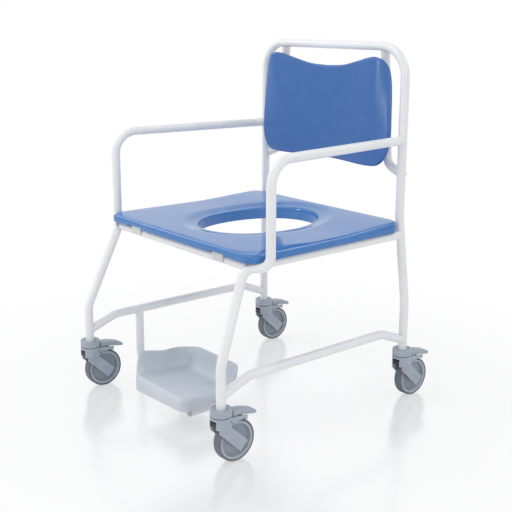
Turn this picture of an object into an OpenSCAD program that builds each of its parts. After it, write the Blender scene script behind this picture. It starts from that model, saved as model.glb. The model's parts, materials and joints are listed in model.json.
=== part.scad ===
// Shower commode chair on four braked swivel castors: welded tube frame with
// a moulded seat, a moulded backrest and a moulded footrest tray.
// +Z is up, the sitter faces -Y, the origin is on the floor below the frame's middle.
// Left and right are the sitter's, so left is +X.

/* [Tube] */
// outside diameter of every frame tube
tube_d = 22; // [20:0.5:24]
// wall thickness of every frame tube
tube_wall = 1.5; // [1:0.1:2.5]
// height of the ring mark that a bending die leaves at each end of a bend
clamp_mark = 0.04; // [0.02:0.01:0.1]
// length of one ring mark
clamp_len = 1.6; // [1:0.2:4]
// gap that the weld fills between a coped tube end and its neighbour
weld_gap = 0.2; // [0.15:0.05:0.4]
// width of the fine groove between a bend and its straight run, under the ring mark
bend_slit = 0.4; // [0.2:0.1:0.8]

/* [Front legs and arms] */
// half the distance between the front castor axes
front_half = 286; // [270:1:310]
// distance of the front castor axes ahead of the origin
front_reach = 298; // [280:1:310]
// height of the bend above the front castors
knee_z = 228; // [215:1:250]
// half the distance between the tops of the front legs
leg_top_half = 262; // [250:1:270]
// distance of the front leg tops ahead of the origin
leg_top_reach = 212; // [205:1:220]
// how far the arm posts stand outside the leg tops
post_out = 53; // [47:1:60]
// how far the arm posts stand behind the leg tops
post_behind = 30; // [26:1:33]
// height of the rails under the seat, at the tube's axis
rail_z = 435; // [425:1:445]
// height of the armrests at the tube's axis
arm_z = 672; // [640:1:700]
// bend radius above the front castors
knee_bend = 80; // [50:1:100]
// bend radius at the top of a front leg
leg_bend = 31; // [28:1:33]
// bend radius below an arm post
post_bend = 29; // [26:1:31]
// bend radius between an arm post and its armrest
arm_bend = 58; // [45:1:80]

/* [Rear hoop] */
// half the distance between the rear castor axes
rear_half = 280; // [270:1:300]
// distance of the rear castor axes behind the origin
rear_reach = 298; // [290:1:310]
// height of the bend above the rear castors
rear_knee_z = 260; // [240:1:280]
// half the distance between the uprights
upright_half = 261; // [256:1:268]
// distance of the uprights behind the origin
upright_reach = 287; // [286:1:295]
// height of the bend behind the seat
seat_knee_z = 480; // [470:1:500]
// height of the push bar at the tube's axis
top_z = 896; // [880:1:940]
// bend radius of the two slight bends of each rear leg
rear_bend = 150; // [100:5:200]
// bend radius of the hoop's upper corners
hoop_bend = 75; // [60:1:90]

/* [Rails and stretchers] */
// how far the side rails start outside the leg tops
side_rail_out = 6; // [4:1:10]
// how far the front rail lies behind the leg tops
front_rail_behind = 9; // [5:1:12]
// how far the rear rail lies ahead of the uprights
rear_rail_ahead = 47; // [34:1:60]
// height of the stretcher's front end
stretcher_front_z = 161; // [156:1:168]
// height of the stretcher's rear end
stretcher_rear_z = 157; // [154:1:168]
// height of the stretcher's straight run
stretcher_z = 190; // [180:1:205]
// distance of the stretcher's front bend ahead of the origin
stretcher_front_reach = 218; // [205:1:230]
// distance of the stretcher's rear bend behind the origin
stretcher_rear_reach = 215; // [205:1:230]
// bend radius of a stretcher
stretcher_bend = 70; // [40:1:90]

/* [Back stays] */
// half the distance between the stays at the push bar
stay_top_half = 184; // [178:1:190]
// half the distance between the stays at their bend
stay_low_half = 205; // [200:1:210]
// height of the stay's bend
stay_bend_z = 606; // [600:1:612]
// height where a stay meets the upright
stay_end_z = 584; // [575:1:590]
// how far the stays lie behind the uprights' axes
stay_back = 9; // [5:1:10]
// bend radius of a stay
stay_bend = 34; // [28:1:38]

/* [Seat] */
// half the seat's width at its front edge
seat_front_half = 294; // [290:1:296]
// half the seat's width at its rear edge
seat_rear_half = 280; // [277:1:284]
// distance of the seat's front edge ahead of the origin
seat_front_reach = 222; // [219:1:226]
// gap between the seat's rear edge and the uprights' axes
seat_rear_gap = 14; // [13:1:19]
// height of the seat's top
seat_z = 466; // [464:1:470]
// height of the lower edge of the seat's lip
seat_low_z = 446.5; // [446.4:0.1:448]
// how much the seat's rear edge rises above its top
seat_rise = 6; // [0:1:8]
// radius of the seat's front corners
seat_front_corner = 26; // [20:1:34]
// radius of the seat's rear corners
seat_rear_corner = 30; // [20:1:34]
// wall thickness of the lip
seat_lip = 6; // [4:0.5:7]
// thickness of the seat's deck
seat_deck = 14; // [12:1:15]
// radius of the rounded upper edge
seat_round = 8; // [5:0.5:9]
// half the opening's width
hole_half = 126; // [115:1:132]
// half the opening's length
hole_half_len = 165; // [150:1:168]
// width of the seat behind the opening
seat_rear_band = 62; // [59:1:66]
// depth of the dished ring around the opening
dish_depth = 6; // [3:0.5:7]
// width of the dished ring
dish_w = 46; // [36:1:50]
// how far the opening's rim hangs below the lip
hole_skirt = 13.5; // [8:0.5:14]
// wall thickness of the opening's rim
hole_wall = 7; // [5:0.5:9]
// width of each notch in the front lip
notch_w = 64; // [56:1:70]
// depth of each notch upward from the lip's lower edge
notch_h = 5; // [3:0.5:5.5]
// distance of the saddles and notches from the middle
saddle_half = 170; // [160:1:180]

/* [Seat saddles] */
// clearance between a saddle and its rail
saddle_gap = 0.4; // [0.3:0.05:0.6]
// wall thickness of a saddle beside its rail
saddle_wall = 3; // [2.5:0.1:3.2]
// length of a saddle along its rail
saddle_len = 40; // [30:1:50]
// how far a saddle reaches below the rail's axis
saddle_drop = 4; // [2:0.5:8]
// length of the screw ear on the inner side of a saddle
ear_len = 16; // [14:1:20]
// thickness of a screw ear
ear_t = 4; // [3:0.5:5]

/* [Backrest] */
// half the backrest's width
back_half = 244; // [236:1:245]
// height of the backrest's lower edge
back_low_z = 601; // [596:1:606]
// height of the backrest's upper peaks
back_high_z = 871; // [860:1:874]
// distance of the backrest's front face ahead of the stays' axes, at its middle
back_ahead = 28; // [26:1:30]
// depth of the bowl between the two flat wings
back_bowl = 18; // [10:1:20]
// how far the wings' upper corners turn back from the folds
back_wing = 24; // [8:1:26]
// half the distance between the bowl's edges at the backrest's top
crease_high_half = 184; // [165:1:190]
// half the distance between the bowl's edges at the backrest's bottom
crease_low_half = 146; // [140:1:160]
// thickness of the backrest at its middle
back_t = 15; // [14:1:16]
// thickness of the backrest at its rim
back_rim_t = 11; // [9:1:12]
// radius of the backrest's rounded rim
back_round = 6; // [4:0.5:7]
// height of the lower fixing screws
fix_low_z = 668; // [655:1:680]
// height of the upper fixing screws
fix_high_z = 812; // [800:1:825]
// distance of the spacers' seats ahead of the stays' axes
spacer_ahead = 36; // [35.5:0.1:36.5]
// radius of a spacer behind the backrest
spacer_r = 8; // [7:0.5:9]
// how far a spacer wraps round its stay
spacer_wrap = 4; // [3:0.5:6]

/* [Footrest] */
// half the tray's width at its floor
tray_half = 115; // [105:1:118]
// distance of the tray's front edge ahead of the origin
tray_front_reach = 278; // [272:1:280]
// distance of the tray's rear edge ahead of the origin
tray_rear_reach = 108; // [102:1:112]
// height of the tray's floor at the front
tray_front_z = 86; // [82:1:90]
// height of the tray's floor at the rear
tray_rear_z = 74; // [72:1:78]
// thickness of the tray's floor
tray_t = 3.6; // [3:0.1:4.5]
// height of the tray's wall top
tray_top_z = 131; // [120:1:138]
// extra height of the wall at its front end
tray_horn = 4; // [0:1:8]
// how far the right wall dips between its front end and the rear
tray_dip = 9; // [0:1:12]
// height of the lower edge of the tray's skirt at its left end
tray_skirt_z = 55; // [53:1:60]
// how far the skirt's lower edge falls toward its right end
tray_skirt_fall = 8; // [0:1:10]
// radius of the tray's left front corner
tray_front_corner = 22; // [16:1:26]
// radius of the tray's right front corner
tray_wall_corner = 31; // [24:1:40]
// radius of the tray's rear corners
tray_rear_corner = 36; // [30:1:50]
// distance ahead of the origin where the left wall has run out
tray_fade_front = 200; // [190:1:205]
// distance ahead of the origin where the left wall starts to fall
tray_fade_rear = 110; // [108:1:120]
// distance of the hanger tube ahead of the origin
hanger_reach = 143; // [138:1:148]
// height of the tube run below the tray, at its axis
foot_tube_z = 38; // [34:1:40]
// distance of the tube's left run from the middle
foot_run_half = 84; // [76:1:90]
// distance of the tube's open end ahead of the origin
foot_end_reach = 240; // [232:1:246]
// bend radius of the footrest tube
foot_bend = 32; // [28:1:40]
// length of each saddle below the tray
tray_saddle_len = 24; // [18:1:30]
// width of each saddle below the tray
tray_saddle_w = 26; // [25:1:30]
// how far above the tube's axis a saddle's lower edge lies
tray_saddle_low = 9; // [6:0.5:10]
// distance of the right saddle from the middle
tray_saddle_half = 70; // [50:1:80]
// distance of the front saddle ahead of the origin
tray_saddle_reach = 228; // [215:1:235]

/* [Castors] */
// wheel radius over the tyre
wheel_r = 50; // [45:1:52]
// width of the tyre
tyre_w = 26; // [22:0.5:27]
// radius where the tyre meets the rim
rim_r = 46; // [42:0.5:47]
// distance of the axle behind the swivel axis
trail = 36; // [32:1:38]
// height of the castor cap's top
cap_top_z = 134; // [133:0.5:136]
// radius of the castor cap
cap_r = 25; // [24:0.5:27]
// radius of the round socket in the cap's top that the leg stands in
socket_r = 19.5; // [18:0.5:20]
// height of that socket's floor
socket_z = 125; // [125:0.5:128]
// height of the fork's top
fork_top_z = 115.5; // [115:0.5:117]
// height of the groove between fork and cap
groove_h = 1.2; // [0.6:0.1:2]
// depth of that groove
groove_d = 2.5; // [1:0.5:4]
// thickness of the fork's top plate
fork_plate = 6; // [5:0.5:7]
// distance of the fork cheek's inner face from the wheel's middle
cheek_in = 14.6; // [14.2:0.1:15.5]
// thickness of a fork cheek
cheek_t = 4; // [3:0.5:5]
// how far a cheek's upper part reaches from the swivel axis
cheek_half = 16; // [15:0.5:16.5]
// height of the housing's lower edge
house_low_z = 90; // [89:0.5:92]
// half the width of the slot in the housing's front
slot_half = 11.2; // [11:0.1:12]
// distance of that slot's inner end ahead of the swivel axis
slot_start = 15.5; // [15.2:0.1:16]
// distance of the side wing's end behind the swivel axis
wing_end = 61; // [58:0.5:62]
// height of the side wing's lower edge at the housing
wing_low_z = 98.5; // [97:0.5:99]
// rise of the side wing's lower edge to its end
wing_rise = 4; // [3:0.5:5]
// depth of the side wing at its end
wing_tip = 4.5; // [3:0.5:5]
// depth of the side wing at the housing
wing_root = 13; // [10:0.5:14]
// width of the fork arm
arm_w = 29; // [24:1:31]
// slope of the fork arm below level, in degrees
arm_slope_angle = 44; // [38:1:50]
// how far the fork arm reaches past the axle
arm_past = 21; // [16:1:24]
// gap between tyre and mudguard web
guard_gap = 2.2; // [2:0.1:2.5]
// thickness of the mudguard web
guard_t = 4; // [3.6:0.1:4.2]
// angle above level where the mudguard web ends
guard_low_angle = 63; // [62:1:64]
// angle above level where the mudguard web starts
guard_high_angle = 70; // [68:1:71]
// radius of the swivel pin
pin_r = 6; // [5:0.5:7]
// radius of the swivel pin's head
pin_head_r = 8.5; // [8:0.5:9]
// thickness of the swivel pin's head
pin_head_h = 5; // [4:0.5:6]
// length of the stem plug inside the tube
plug_len = 40; // [30:1:50]
// thickness of the plug's flange under the tube
flange_t = 1.6; // [1:0.1:2]
// outside radius of the swivel bearing
bearing_r = 15; // [12:0.5:17]
// height of the swivel bearing
bearing_h = 8; // [6:0.5:8.5]
// radius of the axle
axle_r = 4; // [3:0.5:5]
// radius of the axle's heads
axle_head_r = 7; // [6:0.5:9]
// thickness of the axle's heads
axle_head_h = 2; // [1.5:0.5:2.5]
// radius of the wheel's hub
hub_r = 11; // [9:0.5:13]
// thickness of the wheel's disc
disc_t = 9; // [7:0.5:12]
// thickness of the rim's outer ring
ring_t = 5; // [4:0.5:6]

/* [Brakes] */
// distance of the pedal's tip from the swivel axis
pedal_reach = 97; // [90:1:100]
// height of the pedal's lowest point
pedal_low_z = 98; // [97:0.5:99]
// height of the pedal from its lowest point to its top
pedal_rise = 26; // [24:0.5:27]
// width of the pedal
pedal_w = 25.6; // [22:0.2:26]
// radius of the pedal's trunnions
trunnion_r = 2.5; // [2:0.1:3]
// distance of the trunnions behind the swivel axis
pivot_reach = 14; // [13.5:0.1:14.5]
// height of the trunnions
pivot_z = 104; // [103:0.5:104.5]
// length of the brake shoe along the wheel
shoe_len = 10; // [6:0.5:12]
// height of the brake shoe
shoe_h = 4; // [3:0.5:4.5]
// width of the brake shoe
shoe_w = 18; // [12:0.5:22]
// clearance of the brake lever round the swivel pin's head
lever_gap = 1.2; // [0.8:0.1:1.5]
// distance of the brake lock's front face ahead of the swivel axis
lock_reach = 22.5; // [20:0.5:24]
// height of the brake lock
lock_h = 15; // [10:0.5:16]
// slant of the brake lock's lower face
lock_slant = 5; // [2:0.5:6]
// width of the brake lock
lock_w = 20.8; // [18:0.2:21]
// distance of the shoe's middle behind the swivel axis
shoe_reach = 41; // [40:0.5:42]

/* [Screws and fits] */
// radius of a backrest screw
back_screw_r = 3; // [2.5:0.1:3.5]
// radius of a backrest screw's head
back_screw_head_r = 5.5; // [5:0.1:6.5]
// length that a backrest screw reaches into the backrest past its spacer
back_screw_bite = 5; // [4:0.5:5.5]
// radius of a seat or tray screw
small_screw_r = 2.2; // [2:0.1:2.6]
// radius of a seat or tray screw's head
small_screw_head_r = 4.4; // [4:0.1:5]
// thickness of every screw head
screw_head_h = 2.6; // [2:0.1:3.2]
// depth of a tray screw's head below the tray's floor
head_sink = 2.8; // [2.7:0.1:3]
// length that a seat screw reaches into the seat
seat_screw_bite = 8; // [6:0.5:9]
// length that a tray screw reaches into its saddle
tray_screw_bite = 14; // [10:0.5:16]
// radial clearance of a running fit
run_gap = 0.05; // [0.03:0.01:0.08]
// radial clearance between pieces that are fixed together
fixed_gap = 0.03; // [0.02:0.01:0.05]
// clearance between moving faces
face_gap = 0.4; // [0.3:0.05:0.6]
// how far a cutting shape overruns the piece that it cuts
overrun = 2; // [1:0.5:4]

/* [Hidden] */
$fn = 48;
tube_r = tube_d / 2;
bore_r = tube_r - tube_wall;
tube_start = socket_z + face_gap + flange_t;
cheek_out = cheek_in + cheek_t;
quarter_turn = 90;
post_half = leg_top_half + post_out;
post_reach = leg_top_reach - post_behind;
side_rail_half = leg_top_half + side_rail_out;
front_rail_reach = leg_top_reach - front_rail_behind;
rear_rail_reach = upright_reach - rear_rail_ahead;
seat_rear_reach = upright_reach - seat_rear_gap;
hole_reach = seat_rear_reach - seat_rear_band - hole_half_len;
back_face = upright_reach + stay_back - back_ahead;
spacer_seat = upright_reach + stay_back - spacer_ahead;
axle_z = wheel_r;
castor_keys = ["fl", "fr", "rl", "rr"];
castor_kinds = ["plug", "bearing", "cap", "fork", "axle", "rim", "tyre", "pedal", "shoe"];
frame_nodes = ["rear_hoop", "left_side_tube", "right_side_tube", "left_seat_rail", "right_seat_rail",
    "front_rail", "rear_rail", "left_stretcher", "right_stretcher", "left_back_stay", "right_back_stay",
    "footrest_tube", "footrest_plug", "footrest_tray", "footrest_saddles", "footrest_screws",
    "backrest", "backrest_spacers", "backrest_screws", "seat", "seat_saddles", "seat_screws"];

white = [0.92, 0.93, 0.95];
blue = [0.27, 0.45, 0.70];
seat_blue = [0.30, 0.50, 0.78];
grey = [0.62, 0.66, 0.71];
tray_grey = [0.70, 0.73, 0.78];
dark = [0.30, 0.32, 0.35];
steel = [0.72, 0.73, 0.75];

// vectors

function unit(v) = v / norm(v);
function lerp(a, b, t) = a + (b - a) * t;
function clamp01(t) = min(max(t, 0), 1);
function ease(t) = let (c = clamp01(t)) c * c * (3 - 2 * c);
function turn(p, i) = acos(unit(p[i] - p[i - 1]) * unit(p[i + 1] - p[i]));
function setback(p, b, i) = (i == 0 || i == len(p) - 1) ? 0 : b[i - 1] * tan(turn(p, i) / 2);

// a frame whose Z runs along the unit vector w
function frame_z(w) = let (
    s = abs(w[2]) < 0.9 ? [0, 0, 1] : [1, 0, 0],
    u = unit(cross(s, w)),
    v = cross(w, u))
    [u, v, w];
function place(u, v, w, o) = [
    [u[0], v[0], w[0], o[0]],
    [u[1], v[1], w[1], o[1]],
    [u[2], v[2], w[2], o[2]],
    [0, 0, 0, 1]];

// bent tubes: straight runs and bends along a path, joined under the ring marks

module ring(r_out, r_in, h) {
    difference() {
        cylinder(r = r_out, h = h);
        if (r_in > 0) {
            translate([0, 0, -overrun]) cylinder(r = r_in, h = h + 2 * overrun);
        }
    }
}

module along(a, b) {
    f = frame_z(unit(b - a));
    multmatrix(place(f[0], f[1], f[2], a)) children();
}

module bend_piece(p, b, i, r_out, r_in) {
    u = unit(p[i] - p[i - 1]);
    w = unit(p[i + 1] - p[i]);
    n = unit(cross(u, w));
    m = cross(n, u);
    radius = b[i - 1];
    start = p[i] - u * setback(p, b, i);
    multmatrix(place(-m, u, n, start + m * radius))
        rotate_extrude(angle = turn(p, i)) translate([radius, 0]) difference() {
            circle(r = r_out);
            if (r_in > 0) circle(r = r_in);
        }
}

module mark(at, dir, r_out, r_in) {
    half = dir * clamp_len / 2;
    along(at - half, at + half) ring(r_out + clamp_mark, r_in > 0 ? r_in - clamp_mark : 0, clamp_len);
}

module bent_tube(p, b, r_out, r_in) {
    last = len(p) - 1;
    for (i = [0:last - 1]) {
        d = unit(p[i + 1] - p[i]);
        a = p[i] + d * (setback(p, b, i) + (i == 0 ? 0 : bend_slit));
        c = p[i + 1] - d * (setback(p, b, i + 1) + (i == last - 1 ? 0 : bend_slit));
        along(a, c) ring(r_out, r_in, norm(c - a));
        if (i > 0) {
            mark(p[i] + d * setback(p, b, i), d, r_out, r_in);
        }
        if (i < last - 1) {
            mark(p[i + 1] - d * setback(p, b, i + 1), d, r_out, r_in);
            bend_piece(p, b, i + 1, r_out, r_in);
        }
    }
}

// paths, s is 1 on the left and -1 on the right

function side_path(s) = [[s * front_half, -front_reach, tube_start], [s * front_half, -front_reach, knee_z],
    [s * leg_top_half, -leg_top_reach, rail_z], [s * post_half, -post_reach, rail_z],
    [s * post_half, -post_reach, arm_z], [s * upright_half, upright_reach, arm_z]];
side_bends = [knee_bend, leg_bend, post_bend, arm_bend];

hoop_path = [[rear_half, rear_reach, tube_start], [rear_half, rear_reach, rear_knee_z],
    [upright_half, upright_reach, seat_knee_z], [upright_half, upright_reach, top_z],
    [-upright_half, upright_reach, top_z], [-upright_half, upright_reach, seat_knee_z],
    [-rear_half, rear_reach, rear_knee_z], [-rear_half, rear_reach, tube_start]];
hoop_bends = [rear_bend, rear_bend, hoop_bend, hoop_bend, rear_bend, rear_bend];

function track(y) = lerp(front_half, rear_half, (y + front_reach) / (front_reach + rear_reach));
function stretcher_path(s) = [[s * front_half, -front_reach, stretcher_front_z],
    [s * track(-stretcher_front_reach), -stretcher_front_reach, stretcher_z],
    [s * track(stretcher_rear_reach), stretcher_rear_reach, stretcher_z],
    [s * rear_half, rear_reach, stretcher_rear_z]];
stretcher_bends = [stretcher_bend, stretcher_bend];

stay_reach = upright_reach + stay_back;
function stay_path(s) = [
    [s * stay_top_half, stay_reach, top_z],
    [s * stay_low_half, stay_reach, stay_bend_z],
    [s * upright_half, stay_reach, stay_end_z]];
function stay_x(z) = lerp(stay_low_half, stay_top_half, (z - stay_bend_z) / (top_z - stay_bend_z));

hanger_x = -track(-hanger_reach);
foot_path = [[hanger_x, -hanger_reach, stretcher_z], [hanger_x, -hanger_reach, foot_tube_z],
    [foot_run_half, -hanger_reach, foot_tube_z], [foot_run_half, -foot_end_reach, foot_tube_z]];
foot_bends = [foot_bend, foot_bend];

// solid tubes that cut the weld shape into the ends of other tubes

module post_cut(x, y, low, high) {
    translate([x, y, low]) cylinder(r = tube_r + weld_gap, h = high - low);
}

module run_cut(p, i) {
    d = unit(p[i + 1] - p[i]) * overrun;
    along(p[i] - d, p[i + 1] + d) cylinder(r = tube_r + weld_gap, h = norm(p[i + 1] - p[i]) + 2 * overrun);
}

// welded frame

module rear_hoop() {
    color(white) bent_tube(hoop_path, hoop_bends, tube_r, bore_r);
}

module side_tube(s) {
    color(white) difference() {
        bent_tube(side_path(s), side_bends, tube_r, bore_r);
        post_cut(s * upright_half, upright_reach, arm_z - tube_d, arm_z + tube_d);
    }
}

module left_side_tube() {
    side_tube(1);
}

module right_side_tube() {
    side_tube(-1);
}

function shoulder_at(x, s) = let (p = side_path(s))
    lerp(p[2], p[3], (x - leg_top_half) / (post_half - leg_top_half));

// ends of a side rail: on the shoulder below the arm post and on the rear leg's axis
function rail_start(s) = [s * side_rail_half, shoulder_at(side_rail_half, 1)[1], rail_z];
function rail_end(s) = let (t = (rail_z - rear_knee_z) / (seat_knee_z - rear_knee_z))
    [s * lerp(rear_half, upright_half, t), lerp(rear_reach, upright_reach, t), rail_z];
function rail_x(y) = let (a = rail_start(1), b = rail_end(1)) lerp(a[0], b[0], (y - a[1]) / (b[1] - a[1]));

module seat_rail(s) {
    a = rail_start(s);
    b = rail_end(s);
    color(white) difference() {
        along(a, b) ring(tube_r, bore_r, norm(b - a));
        bent_tube(side_path(s), side_bends, tube_r + weld_gap, 0);
        run_cut([hoop_path[1], hoop_path[2]], 0);
    }
}

module left_seat_rail() {
    seat_rail(1);
}

module right_seat_rail() {
    mirror([1, 0, 0]) seat_rail(1);
}

module cross_rail(reach, half) {
    a = [-half, reach, rail_z];
    b = [half, reach, rail_z];
    along(a, b) ring(tube_r, bore_r, norm(b - a));
}

module front_rail() {
    color(white) difference() {
        cross_rail(-front_rail_reach, leg_top_half);
        for (s = [-1, 1]) {
            bend_piece(side_path(s), side_bends, 2, tube_r + weld_gap, 0);
            rail_cut(s);
        }
    }
}

module rail_cut(s) {
    a = rail_start(s) - [0, tube_d, 0];
    b = rail_end(s);
    along(a, b) cylinder(r = tube_r + weld_gap, h = norm(b - a));
}

module rear_rail() {
    color(white) difference() {
        cross_rail(rear_rail_reach, rail_x(rear_rail_reach));
        rail_cut(1);
        rail_cut(-1);
    }
}

module stretcher(s) {
    color(white) difference() {
        bent_tube(stretcher_path(s), stretcher_bends, tube_r, bore_r);
        post_cut(s * front_half, -front_reach, tube_start, knee_z);
        post_cut(s * rear_half, rear_reach, tube_start, rear_knee_z);
    }
}

module left_stretcher() {
    stretcher(1);
}

module right_stretcher() {
    stretcher(-1);
}

module stay_holes(s, r) {
    for (z = [fix_low_z, fix_high_z]) {
        translate([s * stay_x(z), stay_reach - tube_d, z]) rotate([-90, 0, 0])
            cylinder(r = r, h = tube_d * 2);
    }
}

module back_stay(s) {
    color(white) difference() {
        bent_tube(stay_path(s), [stay_bend], tube_r, bore_r);
        along(hoop_path[3], hoop_path[4]) cylinder(r = tube_r + weld_gap, h = upright_half * 2);
        post_cut(s * upright_half, upright_reach, seat_knee_z, top_z);
        stay_holes(s, back_screw_r + run_gap);
    }
}

module left_back_stay() {
    back_stay(1);
}

module right_back_stay() {
    back_stay(-1);
}

module footrest_tube() {
    p = stretcher_path(-1);
    color(white) difference() {
        bent_tube(foot_path, foot_bends, tube_r, bore_r);
        run_cut(p, 1);
    }
}

// rings of points joined into one closed solid

function ring_faces(m, n, looped) = [for (j = [0:(looped ? m - 1 : m - 2)]) for (i = [0:n - 1])
    let (a = j * n + i, b = j * n + (i + 1) % n, up = ((j + 1) % m) * n, c = up + i, d = up + (i + 1) % n)
    each [[a, b, d], [a, d, c]]];
function fan(first, n, tip, flip) = [for (i = [0:n - 1]) let (a = first + i, b = first + (i + 1) % n)
    flip ? [a, b, tip] : [b, a, tip]];

module looped_solid(rings) {
    m = len(rings);
    n = len(rings[0]);
    polyhedron([for (r = rings) each r], ring_faces(m, n, true));
}

module capped_solid(rings, first_tip, last_tip) {
    m = len(rings);
    n = len(rings[0]);
    pts = concat([for (r = rings) each r], [first_tip, last_tip]);
    faces = concat(ring_faces(m, n, false), fan(0, n, m * n, false), fan((m - 1) * n, n, m * n + 1, true));
    polyhedron(pts, faces);
}

// outline of a four-cornered plate with round corners, corners given counter-clockwise
function corner_arc(c, r, from, steps) = [for (i = [0:steps]) let (a = from + quarter_turn * i / steps)
    c + r * [cos(a), sin(a)]];
function edge_points(a, b, steps) = [for (i = [1:steps - 1]) lerp(a, b, i / steps)];
function round_plate(low_half, high_half, low, high, low_r, high_r, right_r, arc_steps, side_steps) = let (
    q1 = corner_arc([high_half - high_r, high - high_r], high_r, 0, arc_steps),
    q2 = corner_arc([-high_half + high_r, high - high_r], high_r, quarter_turn, arc_steps),
    q3 = corner_arc([-low_half + right_r, low + right_r], right_r, 2 * quarter_turn, arc_steps),
    q4 = corner_arc([low_half - low_r, low + low_r], low_r, 3 * quarter_turn, arc_steps))
    concat(q1, edge_points(q1[arc_steps], q2[0], side_steps),
        q2, edge_points(q2[arc_steps], q3[0], side_steps),
        q3, edge_points(q3[arc_steps], q4[0], side_steps),
        q4, edge_points(q4[arc_steps], q1[0], side_steps));

// seat

hole_power = 2.15;
seat_middle = [0, hole_reach];
seat_outline = round_plate(seat_front_half, seat_rear_half, -seat_front_reach, seat_rear_reach,
    seat_front_corner, seat_rear_corner, seat_front_corner, 5, 11);
function hole_point(o) = let (d = unit(o - seat_middle)) seat_middle + d
    * pow(pow(abs(d[0]) / hole_half, hole_power)
        + pow(abs(d[1]) / hole_half_len, hole_power), -1 / hole_power);
function rise_at(y) = seat_rise * ease((y - hole_reach) / (seat_rear_reach - hole_reach));
seat_deck_z = seat_z - seat_deck;

// one station's section: distance out from the opening, height, share of the rear rise
function seat_section(d) = [
    [0, seat_low_z - hole_skirt, 0],
    [0, seat_z - dish_depth - seat_round * 0.6, 1],
    [seat_round * 0.2, seat_z - dish_depth - seat_round * 0.15, 1],
    [seat_round * 0.7, seat_z - dish_depth, 1],
    [dish_w * 0.5, seat_z - dish_depth * 0.72, 1],
    [dish_w * 0.8, seat_z - dish_depth * 0.22, 1],
    [dish_w * 1.05, seat_z, 1],
    [d - seat_round, seat_z, 1],
    [d - seat_round * 0.55, seat_z - seat_round * 0.12, 1],
    [d - seat_round * 0.2, seat_z - seat_round * 0.4, 1],
    [d, seat_z - seat_round, 1],
    [d - seat_lip * 0.1, seat_low_z + seat_lip * 0.2, 0],
    [d - seat_lip * 0.3, seat_low_z, 0],
    [d - seat_lip * 0.9, seat_low_z, 0],
    [d - seat_lip, seat_deck_z, 0],
    [hole_wall * 1.1, seat_deck_z, 0],
    [hole_wall, seat_low_z - hole_skirt * 0.8, 0],
    [hole_wall * 0.7, seat_low_z - hole_skirt, 0]];
function seat_station(o) = let (h = hole_point(o), d = norm(o - h), w = unit(o - h))
    [for (q = seat_section(d)) let (xy = h + w * q[0]) [xy[0], xy[1], q[1] + q[2] * rise_at(xy[1])]];
seat_stations = [for (o = seat_outline) seat_station(o)];
seat_rings = [for (j = [0:len(seat_stations[0]) - 1]) [for (s = seat_stations) s[j]]];
saddle_spots = [for (y = [-front_rail_reach, rear_rail_reach])
    for (s = [-1, 1]) [s * saddle_half, y]];
ear_shift = tube_r + saddle_gap + saddle_wall + ear_len / 2;
function ear_y(spot) = spot[1] + (spot[1] < 0 ? ear_shift : -ear_shift);

module seat() {
    color(seat_blue) difference() {
        looped_solid(seat_rings);
        for (s = [-1, 1]) {
            translate([s * saddle_half - notch_w / 2, -seat_front_reach - overrun, seat_low_z - overrun])
                cube([notch_w, seat_lip + overrun * 2, notch_h + overrun]);
        }
        for (p = saddle_spots) {
            translate([p[0], ear_y(p), seat_deck_z - overrun])
                cylinder(r = small_screw_r + fixed_gap, h = seat_screw_bite + overrun);
        }
    }
}

module seat_saddle(p) {
    side = p[1] < 0 ? 1 : -1;
    half = tube_r + saddle_gap + saddle_wall;
    difference() {
        union() {
            translate([p[0] - saddle_len / 2, p[1] - half, rail_z - saddle_drop])
                cube([saddle_len, half * 2, seat_deck_z - rail_z + saddle_drop]);
            translate([p[0] - saddle_len / 2, p[1] + (side > 0 ? 0 : -half - ear_len), seat_deck_z - ear_t])
                cube([saddle_len, half + ear_len, ear_t]);
        }
        translate([p[0] - saddle_len / 2 - overrun, p[1], rail_z]) rotate([0, 90, 0])
            cylinder(r = tube_r + saddle_gap, h = saddle_len + overrun * 2);
        translate([p[0] - saddle_len / 2 - overrun, p[1] - tube_r - saddle_gap,
            rail_z - saddle_drop - overrun])
            cube([saddle_len + overrun * 2, (tube_r + saddle_gap) * 2, saddle_drop + overrun]);
        translate([p[0], ear_y(p), seat_deck_z - ear_t - overrun])
            cylinder(r = small_screw_r + fixed_gap, h = ear_t + overrun * 2);
    }
}

module seat_saddles() {
    color(grey) for (p = saddle_spots) seat_saddle(p);
}

module seat_screws() {
    color(steel) for (p = saddle_spots) {
        translate([p[0], ear_y(p), seat_deck_z - ear_t - screw_head_h]) {
            cylinder(r = small_screw_head_r, h = screw_head_h);
            cylinder(r = small_screw_r, h = screw_head_h + ear_t + seat_screw_bite - overrun / 2);
        }
    }
}

// backrest: outline as shares of half width and height, from the top's middle down the left side
back_shares = [
    [0, 0.905], [0.25, 0.92], [0.48, 0.965], [0.64, 0.993], [0.76, 1], [0.864, 0.975],
    [0.928, 0.907], [0.959, 0.805], [0.98, 0.66], [0.993, 0.48], [1, 0.33], [0.985, 0.19],
    [0.945, 0.095], [0.87, 0.03], [0.76, 0.003], [0.5, 0], [0.25, 0.005], [0, 0.008]];
back_control = concat([for (q = back_shares) q],
    [for (i = [len(back_shares) - 2:-1:1]) [-back_shares[i][0], back_shares[i][1]]]);
function spline(a, b, c, d, t) = 0.5 * (2 * b + (c - a) * t + (2 * a - 5 * b + 4 * c - d) * t * t
    + (3 * b - a - 3 * c + d) * t * t * t);
function closed_spline(p, steps) = let (n = len(p)) [for (i = [0:n - 1]) for (k = [0:steps - 1])
    spline(p[(i + n - 1) % n], p[i], p[(i + 1) % n], p[(i + 2) % n], k / steps)];
back_tall = back_high_z - back_low_z;
back_outline = [for (q = closed_spline(back_control, 2)) [q[0] * back_half, back_low_z + q[1] * back_tall]];
back_middle = [0, back_low_z + back_tall / 2];
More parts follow.
